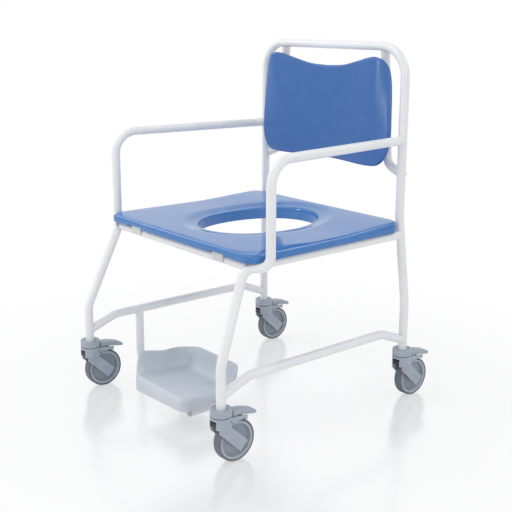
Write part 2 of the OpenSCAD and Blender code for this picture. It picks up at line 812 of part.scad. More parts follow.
// soft_share keeps the fold between bowl and wing round, wing_power lets the wings turn back toward the top
wing_power = 1.4;
soft_share = 0.16;
function soft(q) = (q + sqrt(q * q + soft_share * soft_share)) / 2;
function back_y(x, z) = let (
    t = clamp01((z - back_low_z) / back_tall),
    c = lerp(crease_low_half, crease_high_half, t),
    u = x / c,
    v = (abs(x) - c) / (back_half - c))
    back_face - back_bowl * (1 - soft(1 - u * u) / soft(1)) 
        + back_wing * pow(t, wing_power) * pow(soft(v), 2);

// rings of the backrest: share of the way from its middle to the rim, share of its thickness
// behind the front face
back_ring_shares = [
    [0.30, 0], [0.5, 0], [0.62, 0], [0.7, 0], [0.78, 0], [0.87, 0], [0.94, 0],
    [0.968, 0.02], [0.988, 0.14], [1, 0.42], [1, 0.62], [0.988, 0.88], [0.96, 1],
    [0.88, 1], [0.74, 1], [0.62, 1], [0.35, 1]];
function back_thick(f) = lerp(back_t, back_rim_t, ease((f - 0.7) / 0.3));
function back_point(o, f, depth) = let (p = lerp(back_middle, o, f))
    [p[0], back_y(p[0], p[1]) + depth * back_thick(f), p[1]];
back_rings = [for (q = back_ring_shares) [for (o = back_outline) back_point(o, q[0], q[1])]];

module fix_spots() {
    for (s = [-1, 1]) {
        for (z = [fix_low_z, fix_high_z]) {
            translate([s * stay_x(z), 0, z]) rotate([-90, 0, 0]) children();
        }
    }
}

module backrest() {
    color(blue) difference() {
        capped_solid(back_rings, [0, back_face, back_middle[1]],
            [0, back_face + back_t, back_middle[1]]);
        fix_spots() {
            translate([0, 0, spacer_seat]) cylinder(r = spacer_r + fixed_gap, h = back_t * 2);
            translate([0, 0, spacer_seat - back_screw_bite])
                cylinder(r = back_screw_r + fixed_gap, h = back_t * 2);
        }
    }
}

module backrest_spacers() {
    color(grey) difference() {
        fix_spots() translate([0, 0, spacer_seat]) {
            difference() {
                cylinder(r = spacer_r, h = stay_reach - tube_r + spacer_wrap - spacer_seat);
                translate([0, 0, -overrun]) cylinder(r = back_screw_r + fixed_gap, h = tube_d * 2);
            }
        }
        for (s = [-1, 1]) {
            run_cut([stay_path(s)[1], stay_path(s)[0]], 0);
        }
    }
}

module backrest_screws() {
    color(steel) fix_spots() {
        translate([0, 0, stay_reach + tube_r]) cylinder(r = back_screw_head_r, h = screw_head_h);
        translate([0, 0, spacer_seat - back_screw_bite + face_gap])
            cylinder(r = back_screw_r,
                h = stay_reach + tube_r + screw_head_h - spacer_seat + back_screw_bite - face_gap);
    }
}

// footrest tray: wall round the right side, the rear and the left rear corner, skirt along the rest

tray_outline = round_plate(tray_half, tray_half, -tray_front_reach, -tray_rear_reach,
    tray_front_corner, tray_rear_corner, tray_wall_corner, 6, 8);
tray_middle = [0, -(tray_front_reach + tray_rear_reach) / 2];
function floor_z(y) = lerp(tray_front_z, tray_rear_z,
    (y + tray_front_reach) / (tray_front_reach - tray_rear_reach));
// share of wall at an outline point: one where the wall stands, zero where the edge turns down
function wall_share(o) = o[0] < 0 ?
    ease((o[1] + tray_front_reach) / (tray_wall_corner * 1.1)) :
    clamp01((o[1] + tray_fade_front) / (tray_fade_front - tray_fade_rear));
// where the wall's top dips, as shares of the half width, and where it rises, as shares of the front reach
dip_shares = [0.52, 0.96];
horn_shares = [0.59, 0.88];
function part_way(t, limits) = ease((t - limits[0]) / (limits[1] - limits[0]));
function wall_top(o) = tray_top_z - tray_dip * part_way(-o[0] / tray_half, dip_shares)
    + (o[0] < 0 ? tray_horn + tray_dip : 0) * part_way(-o[1] / tray_front_reach, horn_shares);
function skirt_z(x) = tray_skirt_z - tray_skirt_fall * (1 - x / tray_half) / 2;
// outward direction of the outline at station i
function outward(p, i) = let (n = len(p), d = unit(p[(i + 1) % n] - p[(i + n - 1) % n]))
    [d[1], -d[0]];
// sections: shares of the floor's thickness outward and up, and share of the rise from floor to top
wall_out_shares = [-4.2, -2.6, -1.1, 0.1, 1.0, 1.7, 2.1, 2.7, 2.6, 2.0, 1.1, -0.6, -2.6, -4.2];
wall_up_shares = [0, 0, 0.12, 0.3, 0.6, 0.94, 1, 0.98, 0.9, 0.56, 0.26, 0, -0.08, -0.08];
skirt_out_shares = [-4.2, -2.6, -1.4, -0.4, 0, 0.15, 0.2, -0.5, -0.8, -0.9, -1.1, -2, -2.6, -4.2];
skirt_down_shares = [0, 0, 0.05, 0.14, 0.32, 0.86, 1, 1, 0.92, 0.5, 0.3, 0.16, 0.12, 0.12];
function tray_point(o, w, b, j) = let (
    z = floor_z(o[1]),
    xy = o + w * lerp(skirt_out_shares[j], wall_out_shares[j], b) * tray_t,
    base = floor_z(xy[1]),
    up = wall_up_shares[j] * (wall_top(o) - z),
    down = -skirt_down_shares[j] * (z - skirt_z(o[0])))
    [xy[0], xy[1], j < 2 ? base : j >= 12 ? base - tray_t : base + lerp(down, up, b)];
tray_rings = [for (j = [0:len(wall_out_shares) - 1]) [for (i = [0:len(tray_outline) - 1])
    tray_point(tray_outline[i], outward(tray_outline, i), wall_share(tray_outline[i]), j)]];
tray_spots = [
    [-tray_saddle_half, -hanger_reach],
    [0, -hanger_reach],
    [foot_run_half, -tray_saddle_reach]];

module tray_screw_shape(p, extra) {
    z = floor_z(p[1]);
    translate([p[0], p[1], z - head_sink]) cylinder(r = small_screw_head_r + extra, h = screw_head_h);
    translate([p[0], p[1], z - head_sink - tray_screw_bite + (extra > 0 ? -face_gap : 0)])
        cylinder(r = small_screw_r + extra, h = tray_screw_bite + screw_head_h);
}

module footrest_tray() {
    color(tray_grey) difference() {
        capped_solid(tray_rings, [0, tray_middle[1], floor_z(tray_middle[1])],
            [0, tray_middle[1], floor_z(tray_middle[1]) - tray_t]);
        for (p = tray_spots) tray_screw_shape(p, fixed_gap);
    }
}

module tray_saddle(p, across) {
    long = across ? tray_saddle_w : tray_saddle_len;
    wide = across ? tray_saddle_len : tray_saddle_w;
    low = p[1] - wide / 2;
    high = p[1] + wide / 2;
    foot = foot_tube_z + tray_saddle_low;
    translate([p[0] + long / 2, 0, 0]) rotate([90, 0, -90]) linear_extrude(long)
        polygon([[-low, foot], [-low, floor_z(low) - tray_t],
            [-high, floor_z(high) - tray_t], [-high, foot]]);
}

module footrest_saddles() {
    color(tray_grey) difference() {
        union() {
            tray_saddle(tray_spots[0], false);
            tray_saddle(tray_spots[1], false);
            tray_saddle(tray_spots[2], true);
        }
        run_cut(foot_path, 1);
        run_cut(foot_path, 2);
        for (p = tray_spots) tray_screw_shape(p, fixed_gap);
    }
}

module footrest_screws() {
    color(steel) for (p = tray_spots) tray_screw_shape(p, 0);
}

module footrest_plug() {
    color(grey) translate([foot_run_half, -foot_end_reach, foot_tube_z]) rotate([90, 0, 0]) {
        cylinder(r = tube_r, h = flange_t);
        translate([0, 0, -plug_len / 2]) cylinder(r = bore_r - fixed_gap, h = plug_len / 2);
    }
}

// castors: modelled at the origin, wheel trailing to the rear

function castor_spot(k) = let (
    side = k == "fl" || k == "rl" ? 1 : -1,
    front = k == "fl" || k == "fr")
    [side * (front ? front_half : rear_half), front ? -front_reach : rear_reach, 0];

module at_castor(k) {
    translate(castor_spot(k)) children();
}

module across(y, z, from, to, r) {
    translate([from, y, z]) rotate([0, 90, 0]) cylinder(r = r, h = to - from);
}

module castor_plug() {
    pin_low = fork_top_z - fork_plate - face_gap - pin_head_h;
    color(steel) union() {
        translate([0, 0, pin_low]) cylinder(r = pin_head_r, h = pin_head_h);
        translate([0, 0, pin_low]) cylinder(r = pin_r, h = tube_start - pin_low - flange_t / 2);
        translate([0, 0, tube_start - flange_t]) cylinder(r = tube_r, h = flange_t);
        translate([0, 0, tube_start - flange_t / 2]) cylinder(r = bore_r - fixed_gap, h = plug_len);
    }
}

cap_low_z = fork_top_z;
bearing_top = socket_z;

module castor_bearing() {
    color(steel) translate([0, 0, bearing_top - bearing_h]) ring(bearing_r, pin_r + run_gap, bearing_h);
}

module castor_cap() {
    color(grey) difference() {
        rotate_extrude() polygon([[0, cap_low_z], [cap_r - groove_d, cap_low_z],
            [cap_r - groove_d, cap_low_z + groove_h], [cap_r, cap_low_z + groove_h],
            [cap_r, cap_top_z - groove_d], [cap_r - groove_d, cap_top_z], [0, cap_top_z]]);
        translate([0, 0, cap_low_z - overrun]) cylinder(r = pin_r + run_gap, h = cap_top_z);
        translate([0, 0, bearing_top - bearing_h]) cylinder(r = bearing_r + fixed_gap, h = cap_top_z);
        translate([0, 0, socket_z]) cylinder(r = socket_r, h = cap_top_z);
    }
}

arm_dir = [cos(arm_slope_angle), -sin(arm_slope_angle)];
arm_side = [sin(arm_slope_angle), cos(arm_slope_angle)];
arm_end = [trail, axle_z] + arm_dir * arm_past;
arm_low = arm_end - arm_side * arm_w / 2;
arm_high = arm_end + arm_side * arm_w / 2;
function arm_line(p, y) = p[1] + (y - p[0]) * arm_dir[1] / arm_dir[0];

module cheek(x) {
    translate([x, 0, 0]) rotate([90, 0, 90]) linear_extrude(cheek_t)
        polygon([[-cheek_half, fork_top_z], [-cheek_half, arm_line(arm_low, -cheek_half)], arm_low, arm_high,
            [cheek_half, arm_line(arm_high, cheek_half)], [cheek_half, wing_low_z],
            [wing_end, wing_low_z + wing_rise], [wing_end, wing_low_z + wing_rise + wing_tip],
            [cheek_half, wing_low_z + wing_root], [cheek_half, fork_top_z]]);
}

guard_in = wheel_r + guard_gap;

module housing() {
    hollow_top = fork_top_z - fork_plate;
    difference() {
        translate([0, 0, house_low_z]) cylinder(r = cap_r, h = fork_top_z - house_low_z);
        translate([-cheek_in, -slot_start, house_low_z - overrun])
            cube([cheek_in * 2, cap_r * 2, hollow_top - house_low_z + overrun]);
        translate([-slot_half, -cap_r * 2, house_low_z - overrun])
            cube([slot_half * 2, cap_r * 2, hollow_top - house_low_z + overrun]);
    }
}

module castor_fork() {
    color(grey) difference() {
        union() {
            housing();
            cheek(cheek_in);
            cheek(-cheek_out);
            translate([0, trail, axle_z]) rotate([90, 0, 90]) translate([0, 0, -cheek_out])
                rotate_extrude(start = guard_low_angle, angle = guard_high_angle - guard_low_angle)
                    translate([guard_in, 0]) square([guard_t, cheek_out * 2]);
        }
        translate([0, 0, fork_top_z - fork_plate - overrun])
            cylinder(r = pin_r + run_gap, h = fork_plate * 2);
        across(trail, axle_z, -cap_r, cap_r, axle_r + fixed_gap);
        across(trail, axle_z, cheek_out - axle_head_h, cap_r, axle_head_r + fixed_gap);
        across(trail, axle_z, -cap_r, axle_head_h - cheek_out, axle_head_r + fixed_gap);
        across(pivot_reach, pivot_z, -cap_r, cap_r, trunnion_r + run_gap);
    }
}

module castor_axle() {
    color(steel) {
        across(trail, axle_z, axle_head_h / 2 - cheek_out, cheek_out - axle_head_h / 2, axle_r);
        across(trail, axle_z, cheek_out - axle_head_h, cheek_out, axle_head_r);
        across(trail, axle_z, -cheek_out, axle_head_h - cheek_out, axle_head_r);
    }
}

module at_axle() {
    translate([0, trail, axle_z]) rotate([0, 90, 0]) children();
}

rim_half = tyre_w / 2 - face_gap;

module castor_rim() {
    color(grey) at_axle() rotate_extrude() polygon([
        [axle_r + run_gap, face_gap - cheek_in], [hub_r * 0.7, face_gap - cheek_in],
        [hub_r, -disc_t / 2], [rim_r - ring_t, -disc_t / 2],
        [rim_r - ring_t, -rim_half], [rim_r, -rim_half],
        [rim_r, rim_half], [rim_r - ring_t, rim_half],
        [rim_r - ring_t, disc_t / 2], [hub_r, disc_t / 2],
        [hub_r * 0.7, cheek_in - face_gap], [axle_r + run_gap, cheek_in - face_gap]]);
}

module castor_tyre() {
    inner = rim_r + fixed_gap;
    depth = wheel_r - inner;
    half = tyre_w / 2;
    color(dark) at_axle() rotate_extrude() polygon([[inner, -half], [inner + depth * 0.5, -half],
        [inner + depth * 0.85, -half + depth * 0.25], [wheel_r, -half + depth * 0.7],
        [wheel_r, half - depth * 0.7], [inner + depth * 0.85, half - depth * 0.25],
        [inner + depth * 0.5, half], [inner, half]]);
}

// pedal outline from the side: shares of its reach and of its rise
pedal_shares = [
    [-0.135, 0.04], [-0.135, 0.25], [0.098, 0.25], [0.098, 0.41], [0.275, 0.41], [0.283, 0.9],
    [0.34, 0.97], [0.45, 1], [0.57, 0.99], [0.7, 0.92], [0.83, 0.71], [0.94, 0.38],
    [0.995, 0.1], [1, 0.03], [0.985, 0], [0.95, 0], [0.87, 0.16], [0.76, 0.29],
    [0.62, 0.37], [0.52, 0.385], [0.33, 0.385], [0.28, 0.22], [0.2, 0.1], [0.098, 0.04]];
pedal_front = -pedal_shares[0][0] * pedal_reach;

module pedal_side() {
    translate([-pedal_w / 2, 0, 0]) rotate([90, 0, 90]) linear_extrude(pedal_w)
        polygon([for (q = pedal_shares) [q[0] * pedal_reach, pedal_low_z + q[1] * pedal_rise]]);
}

module castor_pedal() {
    tip = pedal_reach - pedal_w / 2;
    color(grey) union() {
        difference() {
            intersection() {
                pedal_side();
                union() {
                    translate([-pedal_w / 2, -pedal_front, pedal_low_z - overrun])
                        cube([pedal_w, tip + pedal_front, pedal_rise + overrun * 2]);
                    translate([0, tip, pedal_low_z - overrun])
                        cylinder(r = pedal_w / 2, h = pedal_rise + overrun * 2);
                }
            }
            translate([0, 0, pedal_low_z - overrun]) cylinder(r = pin_head_r + lever_gap, h = pedal_rise);
        }
        for (s = [-1, 1]) {
            near = pedal_w / 2 - overrun;
            across(pivot_reach, pivot_z, s > 0 ? near : -cheek_out, s > 0 ? cheek_out : -near, trunnion_r);
        }
    }
}

module castor_shoe() {
    top = pedal_low_z + pedal_shares[20][1] * pedal_rise;
    lever_top = pedal_low_z + pedal_shares[1][1] * pedal_rise;
    color(dark) {
        translate([-shoe_w / 2, shoe_reach - shoe_len / 2, top - shoe_h]) cube([shoe_w, shoe_len, shoe_h]);
        translate([-lock_w / 2, 0, 0]) rotate([90, 0, 90]) linear_extrude(lock_w)
            polygon([[-pedal_front, lever_top], [-pedal_front, lever_top - lock_h],
                [-lock_reach, lever_top - lock_h + lock_slant], [-lock_reach, lever_top]]);
    }
}

rear_hoop();
left_side_tube();
right_side_tube();
left_seat_rail();
right_seat_rail();
front_rail();
rear_rail();
left_stretcher();
right_stretcher();
left_back_stay();
right_back_stay();
footrest_tube();
footrest_plug();
footrest_tray();
footrest_saddles();
footrest_screws();
backrest();
backrest_spacers();
backrest_screws();
seat();
seat_saddles();
seat_screws();
for (k = castor_keys) {
    at_castor(k) castor_plug();
    at_castor(k) castor_bearing();
    at_castor(k) castor_cap();
    at_castor(k) castor_fork();
    at_castor(k) castor_axle();
    at_castor(k) castor_rim();
    at_castor(k) castor_tyre();
    at_castor(k) castor_pedal();
    at_castor(k) castor_shoe();
}
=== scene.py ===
# %% [markdown]
# # A shower commode chair, dressed for its picture
# The CAD model already holds the chair's real sizes: bent tubes, castors, seat, backrest and foot tray.
# This lesson loads it as a fixed frame, gives every surface a finish, rebuilds the moulded and turned
# pieces with finer, rounder shapes than a CAD solid needs, and lights the chair like a catalogue picture.
# Lengths are in millimetres, as in the CAD model, and become Blender's metres where a mesh is made.

import json
import math

import bpy
from mathutils import Matrix, Vector


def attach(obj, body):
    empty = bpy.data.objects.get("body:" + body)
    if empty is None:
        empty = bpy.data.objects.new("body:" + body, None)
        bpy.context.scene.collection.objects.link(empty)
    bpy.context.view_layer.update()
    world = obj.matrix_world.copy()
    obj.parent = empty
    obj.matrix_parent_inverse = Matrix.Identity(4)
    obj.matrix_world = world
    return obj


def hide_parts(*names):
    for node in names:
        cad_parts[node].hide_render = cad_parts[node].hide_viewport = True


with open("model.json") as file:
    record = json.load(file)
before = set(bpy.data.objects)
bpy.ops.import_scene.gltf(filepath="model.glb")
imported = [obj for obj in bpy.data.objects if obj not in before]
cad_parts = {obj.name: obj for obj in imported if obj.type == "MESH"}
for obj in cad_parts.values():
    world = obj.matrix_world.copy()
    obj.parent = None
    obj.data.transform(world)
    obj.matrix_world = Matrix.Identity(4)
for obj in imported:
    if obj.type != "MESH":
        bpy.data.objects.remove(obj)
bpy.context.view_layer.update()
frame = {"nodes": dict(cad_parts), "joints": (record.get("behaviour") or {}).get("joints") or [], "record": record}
nodes = frame["nodes"]
MM = 0.001

# %% [markdown]
# ## Camera
# The picture was taken from the sitter's front left, from a little above the push bar. One could drag a
# camera until the view looks right, or let a constraint aim it. Here its place, turn and lens come from
# fitting the straight tubes and round wheels of the picture, so they are numbers, and the axes are worked
# out from them.

# %% Camera
CAMERA_PLACE = Vector((1.7981, -1.4457, 0.9715))
CAMERA_TURN = math.radians(50.506)
CAMERA_DIP = math.radians(14.557)
CAMERA_ROLL = math.radians(0.168)
LENS_MM, SENSOR_MM, FAR_CLIP = 65.54, 36, 100

ahead = Vector((
    -math.sin(CAMERA_TURN) * math.cos(CAMERA_DIP),
    math.cos(CAMERA_TURN) * math.cos(CAMERA_DIP),
    -math.sin(CAMERA_DIP),
))
level = Vector((math.cos(CAMERA_TURN), math.sin(CAMERA_TURN), 0))
rise = level.cross(ahead)
right = level * math.cos(CAMERA_ROLL) + rise * math.sin(CAMERA_ROLL)
above = right.cross(ahead)
camera = bpy.data.objects.new("camera", bpy.data.cameras.new("camera"))
bpy.context.scene.collection.objects.link(camera)
camera.matrix_world = Matrix((
    (right.x, above.x, -ahead.x, CAMERA_PLACE.x),
    (right.y, above.y, -ahead.y, CAMERA_PLACE.y),
    (right.z, above.z, -ahead.z, CAMERA_PLACE.z),
    (0, 0, 0, 1),
))
camera.data.lens = LENS_MM
camera.data.sensor_width = SENSOR_MM
camera.data.clip_end = FAR_CLIP
bpy.context.scene.camera = camera
print("camera at", [round(v, 3) for v in CAMERA_PLACE])

# %% [markdown]
# ## Shader maths
# A material is a net of nodes. It can be wired up by hand in the shader editor, or node by node in code,
# but both hide the idea. So one small class wraps a socket: adding or multiplying two of them adds the
# Math node that does it, and a finish reads like a formula.


# %% A socket that can be added and multiplied
class Wire:
    """One output socket of a material's node tree, with arithmetic."""

    def __init__(self, tree, socket):
        self.tree, self.socket = tree, socket

    def node(self, kind, output=0, settings=None, **inputs):
        """Add a node of that kind, set its settings, then fill its sockets by name, or by number as i0."""
        made = self.tree.nodes.new(kind)
        for name, value in (settings or {}).items():
            setattr(made, name, value)
        for name, value in inputs.items():
            slot = made.inputs[int(name[1:])] if name[1:].isdigit() else made.inputs[name.replace("_", " ")]
            if isinstance(value, Wire):
                self.tree.links.new(value.socket, slot)
            else:
                slot.default_value = value
        return Wire(self.tree, made.outputs[output])

    def math(self, operation, other):
        return self.node("ShaderNodeMath", settings={"operation": operation}, i0=self, i1=other)

    def __add__(self, other):
        return self.math("ADD", other)

    __radd__ = __add__

    def __mul__(self, other):
        return self.math("MULTIPLY", other)

    __rmul__ = __mul__

    def __sub__(self, other):
        return self.math("SUBTRACT", other)

    def __rsub__(self, other):
        return self.node("ShaderNodeMath", settings={"operation": "SUBTRACT"}, i0=other, i1=self)

    def between(self, low, high):
        """0 below low, 1 above high, smooth between."""
        smooth = {"interpolation_type": "SMOOTHSTEP"}
        return self.node("ShaderNodeMapRange", settings=smooth, i0=self, i1=low, i2=high)

    def blend(self, first, second):
        """Mix two colours by this value."""
        colours = {"data_type": "RGBA"}
        return self.node("ShaderNodeMix", output=2, settings=colours, i0=self, i6=first, i7=second)


def new_material(name):
    """A fresh material, its Principled shader and a Wire for its Object coordinates."""
    material = bpy.data.materials.new(name)
    material.use_nodes = True
    tree = material.node_tree
    shader = tree.nodes["Principled BSDF"]
    place = Wire(tree, tree.nodes.new("ShaderNodeTexCoord").outputs["Object"])
    return material, shader, place


def plug_in(shader, **inputs):
    """Feed the shader's sockets with wires or plain values."""
    for name, value in inputs.items():
        slot = shader.inputs[name.replace("_", " ")]
        if isinstance(value, Wire):
            value.tree.links.new(value.socket, slot)
        else:
            slot.default_value = value


def noise(place, size_mm, detail):
    """Cloudy noise whose blots are about size_mm across."""
    return place.node("ShaderNodeTexNoise", Vector=place, Scale=1 / (size_mm * MM), Detail=detail)


def bump(height, strength, depth_mm):
    """A normal that is dented by a height."""
    return height.node("ShaderNodeBump", Height=height, Strength=strength, Distance=depth_mm * MM)


PLASTIC_IOR = 1.5
print("shader helpers ready")

# %% [markdown]
# ## Finishes
# Catalogue surfaces look flat at first sight, yet each has its own small structure: powder coat has the
# skin of an orange, plated steel is cloudy and gritty. A photographed texture would do, but it ends at its
# own edges and needs a map. Noise at a real size in millimetres keeps its scale on every piece and in any
# view.


# %% Powder coat and steel
def powder_coat(name, colour, shade):
    """White stove paint: orange-peel skin and large soft blots of a greyer shade."""
    material, shader, place = new_material(name)
    skin = noise(place, size_mm=1.6, detail=3)
    speck = noise(place, size_mm=0.35, detail=1)
    blot = noise(place, size_mm=90, detail=3).between(0.42, 0.68)
    plug_in(shader, Base_Color=blot.blend(colour, shade), Roughness=0.26 + 0.12 * skin, IOR=PLASTIC_IOR,
            Normal=bump(skin + 0.25 * speck, strength=0.16, depth_mm=0.12))
    return material


def plated_steel(name, colour):
    """Zinc-plated steel: clouds of a darker shade and fine grit."""
    material, shader, place = new_material(name)
    darker = tuple(0.82 * c for c in colour[:3]) + (1,)
    cloud = noise(place, size_mm=3, detail=4).between(0.3, 0.7)
    grit = noise(place, size_mm=0.25, detail=2)
    plug_in(shader, Base_Color=cloud.blend(colour, darker), Metallic=1.0, Roughness=0.28 + 0.25 * grit,
            Normal=bump(grit, strength=0.2, depth_mm=0.05))
    return material


white_paint = powder_coat("white_paint", (0.78, 0.783, 0.793, 1), (0.755, 0.76, 0.773, 1))
steel = plated_steel("steel", (0.62, 0.63, 0.65, 1))
print("metal finishes:", white_paint.name, steel.name)

# %% [markdown]
# Seat, backrest, tray, castors and tyres are moulded, and the mould leaves a fine spark-eroded grain. One
# could write a material for each, but they differ only in colour, gloss and grain, so one function makes
# them all. The grain is a cell pattern that dents the normal, and slow noise drifts the colour and rubs
# the gloss.


# %% Moulded plastics and rubber
def moulded(name, colour, pale, rough, grain_mm, grain_strength):
    """A moulded plastic: spark-eroded grain, slow colour drift and faint rub marks."""
    material, shader, place = new_material(name)
    cells = {"feature": "SMOOTH_F1"}
    grain = place.node("ShaderNodeTexVoronoi", settings=cells, Vector=place, Scale=1 / (grain_mm * MM))
    drift = noise(place, size_mm=120, detail=2)
    rub = noise(place, size_mm=45, detail=2).between(0.3, 0.8)
    tone = (0.65 * drift + 0.35 * rub).between(0.3, 0.75)
    plug_in(shader, Base_Color=tone.blend(colour, pale), Roughness=rough + 0.04 * rub - 0.03 * drift,
            IOR=PLASTIC_IOR, Normal=bump(grain, grain_strength, depth_mm=0.08))
    return material


seat_blue = moulded("seat_blue", (0.044, 0.168, 0.445, 1), (0.056, 0.188, 0.475, 1), 0.07, 1.4, 0.015)
back_blue = moulded("back_blue", (0.037, 0.130, 0.372, 1), (0.043, 0.141, 0.390, 1), 0.22, 0.9, 0.01)
tray_grey = moulded("tray_grey", (0.52, 0.56, 0.61, 1), (0.56, 0.595, 0.64, 1), 0.42, 0.8, 0.12)
castor_grey = moulded("castor_grey", (0.33, 0.375, 0.43, 1), (0.37, 0.415, 0.465, 1), 0.42, 0.8, 0.12)
rim_grey = moulded("rim_grey", (0.35, 0.395, 0.45, 1), (0.39, 0.435, 0.49, 1), 0.36, 0.8, 0.10)
# painted shade: a darker copy of the wheel's grey, for the shade in the sunk disc's recess and under the fork arm
disc_grey_painted_shade = moulded("disc_grey_painted_shade", (0.26, 0.30, 0.35, 1), (0.30, 0.34, 0.39, 1), 0.38, 0.8, 0.10)
clip_grey = moulded("clip_grey", (0.40, 0.43, 0.47, 1), (0.44, 0.47, 0.51, 1), 0.45, 0.8, 0.12)
# painted shade: the white clip plastic is darkened to the shaded look of the rail under the seat lip
clip_white_painted_shade = moulded("clip_white_painted_shade", (0.58, 0.59, 0.605, 1), (0.62, 0.63, 0.645, 1), 0.40, 0.8, 0.12)
tyre_rubber = moulded("tyre_rubber", (0.120, 0.132, 0.150, 1), (0.16, 0.172, 0.19, 1), 0.62, 0.6, 0.22)
lock_black = moulded("lock_black", (0.012, 0.013, 0.018, 1), (0.022, 0.024, 0.030, 1), 0.5, 0.7, 0.2)
print("plastic finishes: 10")

# %% [markdown]
# ## Dress the CAD pieces
# The bent tubes, forks, screws and rails have their true shape in CAD. They could be modelled again, but
# nothing would be gained, so each node stays as it is and only gets the finish that its slot in the
# record names.

# %% Give each CAD node its finish
FINISHES = {
    "white_paint": white_paint, "steel": steel, "seat_blue": seat_blue, "back_blue": back_blue,
    "tray_plastic": tray_grey, "grey_plastic": clip_grey, "white_plastic": clip_white_painted_shade,
    "castor_grey": castor_grey, "rim_grey": rim_grey, "tyre": tyre_rubber, "shoe_rubber": lock_black,
}
for row in frame["record"]["subparts"]:
    mesh = nodes[row["node"]].data
    mesh.materials.clear()
    mesh.materials.append(FINISHES[row["material_slot"]])

# %% [markdown]
# ## Moulded pieces
# Seat, backrest and tray are large smooth mouldings. Subdividing a cage of a few faces would round them,
# but it pulls every edge off its real size, and pushing single faces about leaves dents in the
# highlights. So each starts as a flat grid that is wrapped round the piece: one direction of the grid
# runs round the outline, the other follows the section. The seam is merged and the normals are turned
# outward.


# %% Wrap a grid round a form
SAME_POINT = 0.00001


def ease(t):
    """Smooth step from 0 to 1."""
    t = min(max(t, 0.0), 1.0)
    return t * t * (3 - 2 * t)


def spline(points, t):
    """A smooth curve through a list of points, t from 0 to 1."""
    span = t * (len(points) - 1)
    i = min(int(span), len(points) - 2)
    f = span - i
    a, b = points[max(i - 1, 0)], points[i]
    c, d = points[i + 1], points[min(i + 2, len(points) - 1)]
    return tuple(
        0.5 * (2 * q + (r - p) * f + (2 * p - 5 * q + 4 * r - s) * f * f + (3 * q - p - 3 * r + s) * f ** 3)
        for p, q, r, s in zip(a, b, c, d))


def close_and_smooth():
    """Merge the seams of the active piece, turn its faces outward and shade it smooth."""
    bpy.ops.object.mode_set(mode="EDIT")
    bpy.ops.mesh.select_all(action="SELECT")
    bpy.ops.mesh.remove_doubles(threshold=SAME_POINT)
    bpy.ops.mesh.normals_make_consistent(inside=False)
    bpy.ops.object.mode_set(mode="OBJECT")
    bpy.ops.object.shade_smooth()


def wrap_grid(name, columns, rows, place):
    """A grid of faces whose point (i, j) goes to place(i, j) in millimetres, with the seams merged."""
    bpy.ops.object.select_all(action="DESELECT")
    bpy.ops.mesh.primitive_grid_add(x_subdivisions=columns, y_subdivisions=rows, size=2)
    piece = bpy.context.object
    piece.name = piece.data.name = name
    for point in piece.data.vertices:
        i = round((point.co.x + 1) / 2 * columns)
        j = round((point.co.y + 1) / 2 * rows)
        point.co = Vector(place(i, j)) * MM
    close_and_smooth()
    return piece


def finish_piece(piece, body, finish, slot, *stands_for):
    """Give a piece its finish and its body, and hide the CAD nodes that it stands for; slot is not used."""
    piece.data.materials.clear()
    piece.data.materials.append(finish)
    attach(piece, body)
    if stands_for:
        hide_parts(*stands_for)
    return piece


print("form helpers ready")

# %% [markdown]
# Seat and tray are four-cornered plates with round corners. A bevelled rectangle would have the same
# radius at each corner, and these don't, so the outline is put together from four arcs with stations
# between them.

# %% Outline of a round-cornered plate
ARC_STEPS, SIDE_STEPS = 12, 36


def side_points(a, b, extra):
    """Stations between two corners, with more of them at the listed x."""
    shares = [n / SIDE_STEPS for n in range(1, SIDE_STEPS)]
    shares += [(x - a[0]) / (b[0] - a[0]) for x in extra]
    return [(a[0] + (b[0] - a[0]) * t, a[1] + (b[1] - a[1]) * t) for t in sorted(shares)]


def round_plate(low_half, high_half, low, high, low_r, high_r, right_r, extra=()):
    """Counter-clockwise outline of the plate; extra lists more stations on its front edge."""
    corners = (
        (high_half, high, high_r, 0), (-high_half, high, high_r, 90),
        (-low_half, low, right_r, 180), (low_half, low, low_r, 270),
    )
    outline = []
    for k, (x, y, r, start) in enumerate(corners):
        middle = (x - math.copysign(r, x), y - r if start < 180 else y + r)
        turns = [math.radians(start + 90 * n / ARC_STEPS) for n in range(ARC_STEPS + 1)]
        bend = [(middle[0] + r * math.cos(a), middle[1] + r * math.sin(a)) for a in turns]
        if outline:
            outline += side_points(outline[-1], bend[0], extra if k == 3 else ())
        outline += bend
    return outline + side_points(outline[-1], outline[0], ())


print("plate outline ready")

# %% [markdown]
# ### Seat
# The seat is one hollow moulding: a deck with a dished oval opening, a rounded upper edge and a lip that
# hides the rails. Two notches in the front lip leave room at the saddles on the front rail. Cutting the
# opening with a boolean would give a sharp, uneven rim. Here each station of the outline sends one
# section to the opening, so the faces run on from the lip over the deck into the dish.

# %% Seat section
SEAT_TOP, SEAT_LOW, SEAT_DECK, RIM_LOW = 466.0, 446.5, 452.0, 433.0
WALL_MID, WALL_HIGH, LIP_MID, LIP_HIGH = 445.0, 451.0, 451.0, 455.0
DISH_DEEP, DISH_WIDE, DISH_STEPS = 6.0, 48.0, 12
RIM_R, RIM_FOOT, WALL_T = 5, 2.5, 7
EDGE_OUT, EDGE_DOWN, LIP_T, LIP_R = 9, 8.6, 6, 2


def arc(s, z, rs, rz, start, end, steps):
    """Points of an elliptic arc in the section, angles in degrees."""
    turns = [math.radians(start + (end - start) * n / steps) for n in range(steps + 1)]
    return [(s + rs * math.cos(a), z + rz * math.sin(a)) for a in turns]


